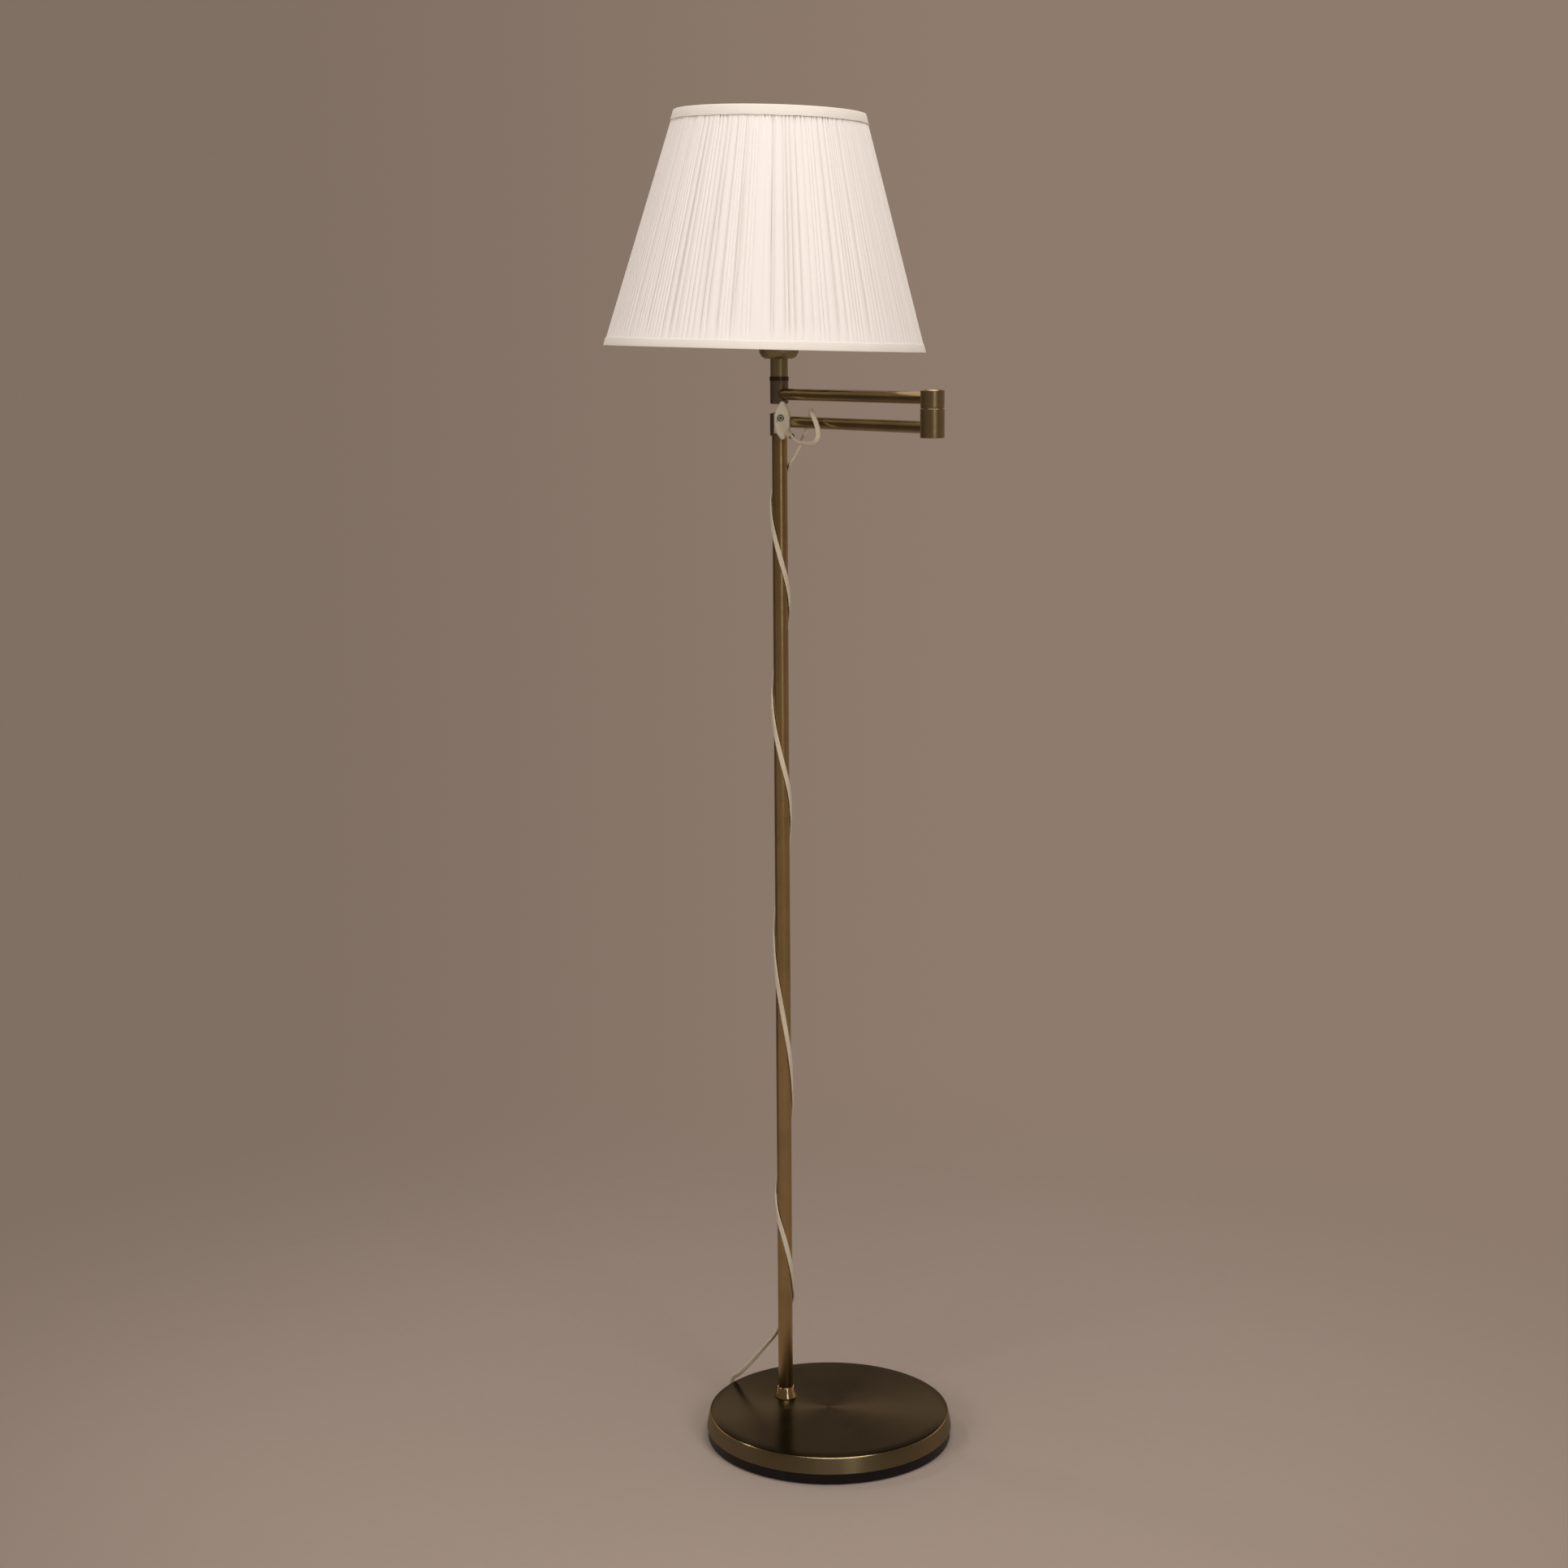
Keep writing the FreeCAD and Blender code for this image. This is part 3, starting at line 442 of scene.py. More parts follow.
def glass(name):
    """The bulb's opal glass, faintly hazy."""
    paint = new_paint(name)
    at = paint.place()
    haze = paint.noise(at, 55.0, 3.0, 0.6)
    tone = paint.mix(colour(0.86, 0.85, 0.82), colour(0.80, 0.79, 0.76), haze)
    return paint.finish(Base_Color=tone, Roughness=0.22 + haze * 0.06,
                        Coat_Weight=0.5, Coat_Roughness=0.05, Subsurface_Weight=0.15)


# ------------------------------------------------------------------ the shade's measures
# How far the cover's two faces and the lining lie inside the shade's outline.
COVER_INSET = 0.75 * MM
COVER_INSIDE = 4.0 * MM
LINING_INSET = 4.4 * MM
SHADE_LEAN = math.radians(1.69)
SHADE_HEIGHT = 0.2373
SHADE_TOP_RADIUS = 0.0983
# The tapes' heights.
TAPE_LOW = 8.5 * MM
TAPE_TOP = 10.5 * MM
TAPE_RIB = 0.7 * MM
tape_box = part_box("trim_bottom")
SHADE_FOOT_RADIUS = (tape_box[1].y - tape_box[0].y) / 2
shade_foot = flat(middle("trim_bottom"), tape_box[0].z + SHADE_FOOT_RADIUS * math.sin(SHADE_LEAN))
shade_place = Matrix.Translation(shade_foot) @ Matrix.Rotation(SHADE_LEAN, 4, "Y")
SHADE_SLOPE = (SHADE_FOOT_RADIUS - SHADE_TOP_RADIUS) / SHADE_HEIGHT


def shade_radius(height):
    return SHADE_FOOT_RADIUS - SHADE_SLOPE * height


# ------------------------------------------------------------------ finishes of the shade
def shade_lines(paint):
    """On the shade: the distance round it at mid height, the height, how far in, and the point."""
    at = paint.node("ShaderNodeMapping", {"vector_type": "TEXTURE"},
                    {"Vector": paint.place(), "Location": tuple(shade_foot), "Rotation": (0, SHADE_LEAN, 0)})
    x, y, height = paint.parts(at)
    turn = x.maths("ARCTAN2", y, x)
    inset = SHADE_FOOT_RADIUS - height * SHADE_SLOPE - (x * x + y * y) ** 0.5
    return turn * shade_radius(SHADE_HEIGHT / 2), height, inset, at


def fabric(name):
    """Off-white dress cotton: a plain weave of uneven threads, softly fuzzy, with painted shade between
    folds.
    """
    paint = new_paint(name)
    around, height, inset, at = shade_lines(paint)
    warp = paint.noise(paint.joined(around, height * 0.012, 0.0), 2300.0, 2.0, 0.6)
    weft = paint.noise(paint.joined(around * 0.012, height, 5.0), 2300.0, 2.0, 0.6)
    slub = paint.mask(paint.noise(paint.joined(around * 0.10, height, 9.0), 420.0, 2.0), 0.60, 0.75)
    cloud = paint.noise(at, 14.0, 3.0)
    clean = paint.mix(colour(0.86, 0.815, 0.785), colour(0.835, 0.785, 0.755), cloud)
    threads = paint.mix(clean, colour(0.76, 0.71, 0.68), (warp + weft) * 0.22 + slub * 0.12)
    # Painted shade: the cloth is coloured darker where it lies deep in a fold, standing in for the shade
    # there.
    painted_fold_shade = paint.mask(inset, COVER_INSET + 0.15 * MM, COVER_INSET + 1.6 * MM)
    folded = paint.mix(threads, colour(0.56, 0.50, 0.455), painted_fold_shade * 0.6)
    weave = paint.bump(warp + weft + slub * 0.6, 0.07 * MM, 0.5)
    return paint.finish(Base_Color=folded, Roughness=0.88, Normal=weave,
                        Sheen_Weight=0.25, Sheen_Roughness=0.4, Specular_IOR_Level=0.25)


def tape_cloth(name):
    """Ivory cotton tape with fine ribs across it."""
    paint = new_paint(name)
    around, height, _, at = shade_lines(paint)
    ribs = (around * (math.tau / TAPE_RIB)).sine() * 0.5 + 0.5
    thread = paint.noise(paint.joined(around * 0.1, height, 0.0), 2600.0, 2.0, 0.6)
    cloud = paint.noise(at, 30.0, 3.0)
    clean = paint.mix(colour(0.81, 0.765, 0.715), colour(0.78, 0.73, 0.675), cloud)
    ribbed = paint.mix(clean, colour(0.68, 0.61, 0.53), (1 - ribs) * 0.15 + thread * 0.12)
    weave = paint.bump(ribs * 0.5 + thread, 0.12 * MM, 0.5)
    return paint.finish(Base_Color=ribbed, Roughness=0.8, Normal=weave,
                        Sheen_Weight=0.2, Sheen_Roughness=0.4, Specular_IOR_Level=0.3)


def liner_cloth(name):
    """The stiff white lining, faintly crinkled, and yellowed by the bulb higher up."""
    paint = new_paint(name)
    _, height, _, at = shade_lines(paint)
    crinkle = paint.noise(at, 90.0, 4.0, 0.6)
    grain = paint.noise(at, 1500.0, 2.0, 0.6)
    warm = paint.mask(height, 0.09, 0.21)
    tone = paint.mix(colour(0.82, 0.79, 0.74), colour(0.76, 0.70, 0.61), warm * 0.6 + crinkle * 0.15)
    return paint.finish(Base_Color=tone, Roughness=0.6,
                        Normal=paint.bump(crinkle + grain * 0.1, 0.5 * MM, 0.4))


# ------------------------------------------------------------------ finishes of the CAD nodes
UPRIGHT = (0, 0, 1)
pole_brass = brass("pole_brass", (0.46, 0.325, 0.145), (0.37, 0.26, 0.115), 0.30, UPRIGHT, age=0.4)
arm_bronze = brass("arm_bronze", (0.44, 0.325, 0.145), (0.34, 0.25, 0.112), 0.18, tuple(along_arm), age=0.4)
elbow_brass = brass("elbow_brass", (0.37, 0.285, 0.15), (0.31, 0.235, 0.12), 0.36, UPRIGHT,
                    edge=0.5, age=0.3)
stem_brass = brass("stem_brass", (0.34, 0.28, 0.155), (0.27, 0.22, 0.12), 0.42, UPRIGHT, age=0.3)
sleeve_bronze = brass("sleeve_bronze", (0.24, 0.185, 0.135), (0.19, 0.145, 0.105), 0.48, UPRIGHT, edge=0.4)
ring_bronze = brass("ring_bronze", (0.08, 0.06, 0.045), (0.06, 0.045, 0.035), 0.42, UPRIGHT)
collar_brass = brass("collar_brass", (0.78, 0.58, 0.30), (0.66, 0.47, 0.23), 0.16, UPRIGHT,
                     coat=0.6, age=0.2)
base_bronze = turned_bronze("base_bronze")
cast_iron = plain_metal("cast_iron", (0.09, 0.085, 0.08), 0.7, 160.0)
bright_steel = plain_metal("bright_steel", (0.56, 0.56, 0.57), 0.32)
nickel = plain_metal("nickel", (0.72, 0.69, 0.64), 0.2)
white_wire = moulding("white_wire", (0.72, 0.69, 0.63), 0.4)
black_moulding = moulding("black_moulding", (0.018, 0.017, 0.016), 0.35)
button_grey = dotted_button("button_grey")
white_moulding = moulding("white_moulding", (0.53, 0.475, 0.365), 0.40, grime=0.4)
cream_moulding = moulding("cream_moulding", (0.50, 0.42, 0.30), 0.45, grime=0.5)
cream_flex = flex("cream_flex")
black_felt = felt("black_felt")
shade_fabric = fabric("shade_fabric")
shade_tape = tape_cloth("shade_tape")
shade_liner = liner_cloth("shade_liner")

finishes = {
    pole_brass: "pole_tube",
    arm_bronze: "lower_arm_tube upper_arm_tube",
    elbow_brass: "elbow_lower elbow_upper elbow_top_cap elbow_bottom_cap",
    stem_brass: "holder_stem holder_cup cup_nut",
    sleeve_bronze: "pole_sleeve sleeve_cap holder_sleeve",
    ring_bronze: "holder_bush",
    collar_brass: "foot_collar elbow_nipple elbow_nut elbow_locknut holder_nipple holder_nut",
    base_bronze: "base_cover",
    cast_iron: "base_weight",
    enamel("black_enamel"): "foot_ring",
    black_felt: "felt_pad",
    bright_steel: "stud_washer stud_nut pole_stud pole_foot_plug pole_head_plug pivot_washer pivot_screw",
    nickel: "bulb_cap lampholder_contact lampholder_shell plug_pins",
    white_wire: "shade_wire_bottom shade_wire_top shade_fitter",
    black_moulding: "lampholder_body shade_nut_lower shade_nut_upper",
    button_grey: "switch_button",
    white_moulding: "switch_back switch_cover",
    cream_moulding: "cord_gland cord_tie plug_body",
    cream_flex: "lower_lead upper_lead",
    shade_fabric: "shade_cover",
    shade_tape: "trim_bottom trim_top",
    shade_liner: "shade_lining",
    glass("opal_glass"): "bulb_glass",
}
for finish, names in finishes.items():
    for name in names.split():
        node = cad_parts[name]
        for holder in node.material_slots:
            holder.material = finish

# ------------------------------------------------------------------ the shade
SHADE_SEED = 11
SHADE_COLUMNS = 2200
NARROW_SHARE = 0.6
DEEPEST_FOLD = 2.9 * MM
TUCK_FADE = 5.0 * MM
BACK = math.pi / 2
COVER_HEIGHTS = [0.0015, 0.0050, 0.0085, 0.0110, 0.0150, 0.0210]
COVER_HEIGHTS += [0.0300 + 0.0105 * step for step in range(17)]
COVER_HEIGHTS += [0.2040, 0.2090, 0.2130, 0.2165, 0.2195, 0.2220, 0.2240, 0.2256, 0.2268, 0.2300, 0.2350]


class Folds:
    """Irregular folds side by side round the shade, each with its own width, depth and lean."""

    def __init__(self, chance, narrow, broad, depth):
        self.starts = [0.0]
        self.kinds = []
        while self.starts[-1] < math.tau:
            span = narrow if chance.random() < NARROW_SHARE else broad
            wide = chance.uniform(*span) * MM / SHADE_FOOT_RADIUS
            self.starts.append(self.starts[-1] + wide)
            self.kinds.append((chance.uniform(*depth) * MM, chance.uniform(0.55, 1.8)))
        fit = math.tau / self.starts[-1]
        self.starts = [start * fit for start in self.starts]

    def depth(self, angle):
        angle = angle % math.tau
        index = min(bisect.bisect_right(self.starts, angle), len(self.kinds)) - 1
        start, end = self.starts[index], self.starts[index + 1]
        deep, lean = self.kinds[index]
        share = min(1.0, max(0.0, (angle - start) / (end - start)))
        return deep * (1 - math.sin(math.pi * share ** lean) ** 0.7)


def make_cover():
    """The gathered cotton: long folds from tape to tape, and short tucks under the top tape."""
    chance = random.Random(SHADE_SEED)
    # Each kind's narrow and broad widths, and its depths, in millimetres.
    long_folds = Folds(chance, (3.2, 6.2), (6.5, 13.0), (0.35, 1.55))
    soft_folds = Folds(chance, (14.0, 24.0), (24.0, 42.0), (0.1, 0.7))
    tucks = Folds(chance, (2.2, 4.0), (4.0, 7.5), (0.2, 2.2))
    tape_edge = SHADE_HEIGHT - TAPE_TOP

    def section(angle):
        # The long folds are a little deeper on the left.
        distinct = 0.95 - 0.10 * math.cos(angle)
        points = []
        for height in COVER_HEIGHTS:
            up = height / SHADE_HEIGHT
            drift = 0.010 * math.sin(3 * angle + 1.3) * (up - 0.4) + 0.003 * math.sin(7 * angle) * up * up
            held = min(1.0, 0.30 + max(0.0, height - TAPE_LOW) / 0.022)
            deep = long_folds.depth(angle + drift) * held * distinct * (1 - 0.35 * up)
            deep += soft_folds.depth(angle - drift) * math.sin(math.pi * min(1.0, up)) ** 0.8
            deep += tucks.depth(angle) * math.exp(-abs(tape_edge - height) / TUCK_FADE)
            points.append((shade_radius(height) - COVER_INSET - min(deep, DEEPEST_FOLD), height))
        ends = (COVER_HEIGHTS[-1], COVER_HEIGHTS[0])
        return points + [(shade_radius(height) - COVER_INSIDE, height) for height in ends]

    mesh = revolved(section, SHADE_COLUMNS, shade_place)
    return piece("shade_pleats", mesh, "upper_arm", shade_fabric, ["shade_cover"])


TAPE_FOLD = 1.1 * MM
TAPE_INSIDE = 5.02 * MM
TAPE_BACK = 5.28 * MM


def make_tape(name, node, rim, edge, lap_at):
    """A tape folded over a rim of the shade, its ends lapped at the back."""
    way = math.copysign(1.0, edge - rim)
    fold = rim + way * TAPE_FOLD
    hem = rim + way * abs(edge - rim) * 0.8

    def section(angle):
        lap = 0.35 * MM if abs(angle - lap_at) < 0.05 else 0.0
        wave = (0.16 * math.sin(9 * angle + rim * 50) + 0.10 * math.sin(23 * angle)) * MM
        swell = 0.10 * MM * math.sin(31 * angle + 2) * math.sin(12 * angle)
        return softened([
            (shade_radius(rim) - 0.1 * MM + lap, rim, 0.8 * MM),
            (shade_radius(edge) - 0.15 * MM + lap + swell, edge + wave, 0.25 * MM),
            (shade_radius(edge) - 0.9 * MM + swell, edge + wave, 0.2 * MM),
            (shade_radius(fold) - TAPE_FOLD, fold, 0),
            (shade_radius(fold) - TAPE_INSIDE, fold, 0),
            (shade_radius(hem) - TAPE_INSIDE, hem, 0),
            (shade_radius(hem) - TAPE_BACK, hem, 0),
            (shade_radius(rim) - TAPE_BACK, rim, 0.8 * MM),
        ], 3)

    mesh = revolved(section, 480, shade_place)
    return piece(name, mesh, "upper_arm", shade_tape, [node])


LINING_HEIGHTS = [0.0020 + 0.00777 * step for step in range(31)]
LINING_THICK = 0.3 * MM
LINING_SEAM = 0.12 * MM
LINING_WRINKLE = 0.13 * MM


def make_lining():
    """The stiff lining, faintly crinkled, with one seam down its back."""
    def section(angle):
        thick = LINING_THICK + (LINING_SEAM if abs(angle - BACK - 0.3) < 0.03 else 0.0)
        outer, inner = [], []
        for height in LINING_HEIGHTS:
            wave = math.sin(17 * angle + 60 * height) * math.sin(5 * angle - 140 * height + 2)
            radius = shade_radius(height) - LINING_INSET + (wave - 1) * LINING_WRINKLE
            outer.append((radius, height))
            inner.append((radius - thick, height))
        return outer + inner[::-1]

    mesh = revolved(section, 360, shade_place)
    return piece("shade_liner_skin", mesh, "upper_arm", shade_liner, ["shade_lining"])


pleats = make_cover()
low_tape = make_tape("tape_low", "trim_bottom", 0.0, TAPE_LOW, BACK)
top_tape = make_tape("tape_top", "trim_top", SHADE_HEIGHT, SHADE_HEIGHT - TAPE_TOP, BACK + 0.2)
lining = make_lining()


# ------------------------------------------------------------------ the base
def make_base_cover():
    """The spun cover, its flat top falling over a soft edge to a slightly flared wall."""
    section = softened([
        (0, BASE_TOP, 0),
        (60.0 * MM, BASE_TOP, 0),
        (BASE_RIM - 16.0 * MM, BASE_TOP, 0),
        (BASE_RIM - 9.0 * MM, BASE_TOP, 5.0 * MM),
        (BASE_RIM - 1.6 * MM, BASE_TOP - 0.9 * MM, 2.6 * MM),
        (BASE_RIM, BASE_TOP - 2.1 * MM, 0.9 * MM),
        (BASE_REACH, BASE_FOOT, 0.4 * MM),
        (BASE_REACH - SPUN_METAL, BASE_FOOT, 0.4 * MM),
        (BASE_RIM - SPUN_METAL, BASE_TOP - 3.0 * MM, 1.0 * MM),
        (BASE_RIM - 9.0 * MM, BASE_TOP - SPUN_METAL, 3.0 * MM),
        (0, BASE_TOP - SPUN_METAL, 0),
    ], 8)
    mesh = revolved(section, 720, Matrix.Translation(base))
    return piece("base_spun_cover", mesh, "root", base_bronze, ["base_cover"])


COLLAR_BORE = 8.15 * MM


def make_collar():
    """The pole's foot collar, a short cone with soft edges."""
    low, high = (bound.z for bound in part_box("foot_collar"))
    tall = high - low
    section = softened([
        (COLLAR_BORE, low, 0),
        (12.4 * MM, low, 0),
        (12.3 * MM, low + 0.8 * MM, 0.4 * MM),
        (10.6 * MM, low + tall * 0.5, 0.6 * MM),
        (8.9 * MM, high, 0.4 * MM),
        (COLLAR_BORE, high, 0.3 * MM),
    ], 8)
    mesh = revolved(section, 128, Matrix.Translation(pole))
    return piece("pole_collar", mesh, "root", collar_brass, ["foot_collar"])


def make_felt():
    """The felt under the base, its cut edge a little uneven."""
    def section(angle):
        reach = PAD_REACH - (0.25 + 0.2 * math.sin(13 * angle) * math.sin(29 * angle)) * MM
        return softened([(0, 0, 0), (reach, 0, 0.5 * MM), (reach, PAD_THICK, 0.3 * MM), (0, PAD_THICK, 0)], 4)

    mesh = revolved(section, 240, Matrix.Translation(base))
    return piece("felt_sole", mesh, "root", black_felt, ["felt_pad"])


make_base_cover()
make_collar()
sole = make_felt()

# ------------------------------------------------------------------ the switch
# Half the cover's outline: half widths and heights over its foot, in millimetres.
SWITCH_HALF_WIDE = 8.3
SWITCH_HALF_HIGH = 19.5
SWITCH_OUTLINE = [(1.4, 0.0), (3.9, 3.0), (6.6, 7.2), (8.0, 10.8), (SWITCH_HALF_WIDE, 15.0),
                  (SWITCH_HALF_WIDE, 23.0), (7.7, 28.0), (5.6, 33.0), (3.2, 36.6), (2.0, 39.0)]
# The parting line near the back: distances before the back face, and how far in.
SWITCH_BACK = [(0.0, 0.0), (1.6, 0.0), (1.8, 0.35), (2.2, 0.35), (2.4, 0.0)]
# The rounded front edge: distances behind the front face, and how far in.
SWITCH_FRONT = [(3.0, 0.05), (1.6, 0.35), (0.7, 0.9), (0.2, 1.8), (0.0, 3.0)]
# The button's well: radii, and depths behind the front face. The raised lip lies before it.
BUTTON_WELL = [(4.6, 0.0), (4.3, -0.35), (3.8, -0.35), (3.55, 0.1), (3.55, 9.0)]


def make_switch():
    """The switch's cover: a long moulded lozenge with a parting line and a hole for the button."""
    low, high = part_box("switch_cover")
    button = middle("switch_button")
    centre = (low + high) / 2
    half_high = (high.z - low.z) / 2
    corners = [(x * MM, y * MM - half_high, 1.6 * MM) for x, y in SWITCH_OUTLINE]
    outline = softened(corners + [(-x, y, soft) for x, y, soft in reversed(corners)], 3)
    shells = [(high.y - depth * MM, inset) for depth, inset in SWITCH_BACK]
    shells += [(low.y + depth * MM, inset) for depth, inset in SWITCH_FRONT]
    rings = []
    for place, inset in shells:
        shrink_x = 1 - inset / SWITCH_HALF_WIDE
        shrink_z = 1 - inset / SWITCH_HALF_HIGH
        rings.append([Vector((centre.x + x * shrink_x, place, centre.z + z * shrink_z)) for x, z in outline])
    spokes = [Vector((point.x - button.x, 0, point.z - button.z)).normalized() for point in rings[-1]]
    for radius, depth in BUTTON_WELL:
        hub = Vector((button.x, low.y + depth * MM, button.z))
        rings.append([hub + spoke * radius * MM for spoke in spokes])
    mesh = loft(rings, closed=True)
    return piece("switch_shell", mesh, "lower_arm", white_moulding, ["switch_cover"])


make_switch()

# ------------------------------------------------------------------ the cord
CORD_DIAMETER = 0.0052
WIND_RADIUS = 0.0102
FLEX_THICKNESS = 0.0027
FLEX_SIDES = 18
GROOVE_WIDTH = 0.0008
GROOVE_DEPTH = 0.34
FACE_SMOOTHING = 14
LOOP_FOOT = 1.062

cord_start = by_pole(0.0050, -0.0225, 1.0890)
gland_end = by_pole(0.0130, -0.0350, 1.0830)

# The slack loop over the lower arm: along the arm, to its far side, and height.
LOOP_ROUTE = [
    (0.0500, -0.0130, 1.0785), (0.0670, -0.0135, 1.0770), (0.0810, -0.0135, 1.0770),
    (0.0905, -0.0130, 1.0810), (0.0920, -0.0125, 1.0890), (0.0870, -0.0120, 1.0980),
    (0.0770, -0.0095, 1.1060), (0.0640, -0.0030, 1.1100), (0.0510, 0.0055, 1.1090),
    (0.0410, 0.0115, 1.1010), (0.0315, 0.0130, 1.0895), (0.0225, 0.0125, 1.0775),
    (0.0145, 0.0120, 1.0655),
]
# The heights of the winding at each quarter turn round the pole.
QUARTER_HEIGHTS = [
    1.0536, 1.0385, 1.0090, 0.9566, 0.9073, 0.8602, 0.8059, 0.7435, 0.6867,
    0.6118, 0.5452, 0.4645, 0.3785, 0.3100, 0.2593, 0.2140, 0.1525, 0.1226,
]
# Over the base's rear left rim and down to the floor.
TAIL_ROUTE = [
    (-0.0560, 0.0405, 0.1005), (-0.0664, 0.0466, 0.0860), (-0.0800, 0.0553, 0.0665),
    (-0.0930, 0.0644, 0.0488), (-0.1010, 0.0720, 0.0382), (-0.1055, 0.0795, 0.0338),
    (-0.1085, 0.0855, 0.0250), (-0.1090, 0.0895, 0.0135), (-0.1065, 0.0950, 0.0048),
    (-0.0995, 0.1030, 0.0020), (-0.0880, 0.1125, 0.0014), (-0.0750, 0.1215, 0.0014),
    (-0.0600, 0.1285, 0.0015), (-0.0435, 0.1325, 0.0015),
]
# From the hank, over its outer turn and along to the plug.
END_ROUTE = [
    (-0.0125, 0.1416, 0.0018), (-0.0055, 0.1414, 0.0030), (0.0025, 0.1402, 0.0044),
    (0.0130, 0.1383, 0.0046), (0.0240, 0.1379, 0.0026), (0.0325, 0.1416, 0.0016),
    (0.0405, 0.1444, 0.0030), (0.0466, 0.1428, 0.0058),
]
HANK_DISTANCE = 0.158
HANK_HALF_RUN = 0.026
HANK_END_BULGE = 1.03
HANK_TURNS = [(0.0209, 0.0015), (0.0153, 0.0015)]
PLUG_DISTANCE = 0.147
PLUG_SETBACK = 0.027
PLUG_HEIGHT = 0.0070
hank_away, hank_along = bearing(98.0)
plug_away, plug_heading = bearing(60.0)
plug_root = plug_away * PLUG_DISTANCE - plug_heading * PLUG_SETBACK + UP * PLUG_HEIGHT


def by_hank(run, aside, height):
    return hank_away * (HANK_DISTANCE + aside) + hank_along * run + UP * height


def winding_points():
    """The cord's points round the pole, eight to a turn."""
    points = []
    last = len(QUARTER_HEIGHTS) - 1
    for step in range(2 * last + 1):
        index = step // 2
        height = QUARTER_HEIGHTS[index]
        if step % 2:
            after = QUARTER_HEIGHTS[index + 1]
            height = (height + after) / 2
            # Halfway between two quarters the cord follows a curve through the four nearest.
            if 0 < index < last - 1:
                beyond = (QUARTER_HEIGHTS[index - 1] + QUARTER_HEIGHTS[index + 2]) / 2
                height += (height - beyond) / 8
        turn = math.radians(45 * step)
        points.append(by_pole(math.cos(turn) * WIND_RADIUS, math.sin(turn) * WIND_RADIUS, height))
    return points


def oblong_turn(radius):
    """One turn of the hank as (along, away) points: near side, end, far side, end."""
    near = [(share * HANK_HALF_RUN, -radius) for share in (-0.6, 0, 0.6)]
    far = [(-x, -y) for x, y in near]
    ends = []
    for side, first in ((HANK_HALF_RUN, -75), (-HANK_HALF_RUN, 105)):
        turns = [math.radians(first + 30 * step) for step in range(6)]
        wide = radius * HANK_END_BULGE
        ends.append([(side + wide * math.cos(turn), wide * math.sin(turn)) for turn in turns])
    return near + ends[0] + far + ends[1]


def hank_points():
    """The put-away length in two turns; the outer one slides in to the other in its last part."""
    points = []
    for number, (radius, height) in enumerate(HANK_TURNS):
        next_radius, next_height = HANK_TURNS[min(number + 1, len(HANK_TURNS) - 1)]
        count = len(oblong_turn(radius))
        for index in range(count):
            moved = max(0.0, (index / count - 0.6) / 0.4)
            here = oblong_turn(radius + (next_radius - radius) * moved)[index]
            points.append(by_hank(*here, height + (next_height - height) * moved))
    radius, height = HANK_TURNS[-1]
    points += [by_hank(-0.6 * HANK_HALF_RUN, -radius, height), by_hank(-0.1 * HANK_HALF_RUN, -radius, height)]
    return points


def ramp(value, low, high):
    return min(1.0, max(0.0, (value - low) / (high - low)))


def cord_face(point, heading):
    """The way the flex's wide side faces.

    Part forward and part sideways round the loop, out from the pole on the winding, forward down
    the tail and up on the floor.
    """
    out = flat(point - pole)
    if point.z > LOOP_FOOT:
        forward = 0.45 + 0.35 * ramp(out.x, 0.026, 0.034)
        return heading.cross(FORWARD) * (1 - forward) + FORWARD * forward
    lying = ramp(point.z, 0.034, 0.016)
    forward = 0.94 * ramp(point.z, 0.105, 0.050)
    hanging = out.normalized() * (1 - forward) + FORWARD * forward
    return hanging * (1 - lying) + UP * lying


def twin_flex(points):
    """A flat twin flex: two cores side by side, with a groove between them on each face."""
    last = len(points) - 1
    headings = [(points[min(i + 1, last)] - points[max(i - 1, 0)]).normalized() for i in range(last + 1)]
    faces = []
    for point, heading in zip(points, headings):
        out = cord_face(point, heading)
        out = (out - heading * out.dot(heading)).normalized()
        if faces and out.dot(faces[-1]) < 0:
            out.negate()
        faces.append(out)
    for _ in range(FACE_SMOOTHING):
        faces = [(faces[max(i - 1, 0)] + faces[i] * 2 + faces[min(i + 1, last)]).normalized()
                 for i in range(last + 1)]
    rings = []
    for point, heading, out in zip(points, headings, faces):
        out = (out - heading * out.dot(heading)).normalized()
        across = heading.cross(out)
        ring = []
        for step in range(FLEX_SIDES):
            turn = math.tau * step / FLEX_SIDES
            wide = CORD_DIAMETER / 2 * math.cos(turn)
            groove = 1 - GROOVE_DEPTH * math.exp(-((wide / GROOVE_WIDTH) ** 2))
            ring.append(point + across * wide + out * (FLEX_THICKNESS / 2 * math.sin(turn) * groove))
        rings.append(ring)
    return loft(rings)


def turned_along(start, end):
    """The placement of a turned piece whose axis runs from start to end."""
    return Matrix.Translation(start) @ (end - start).to_track_quat("Z", "Y").to_matrix().to_4x4()


GLAND_RIBS = 6
GLAND_BORE = 2.75 * MM
GLAND_RIB_DEEP = 0.55 * MM
GLAND_RIB_EDGE = 0.5 * MM


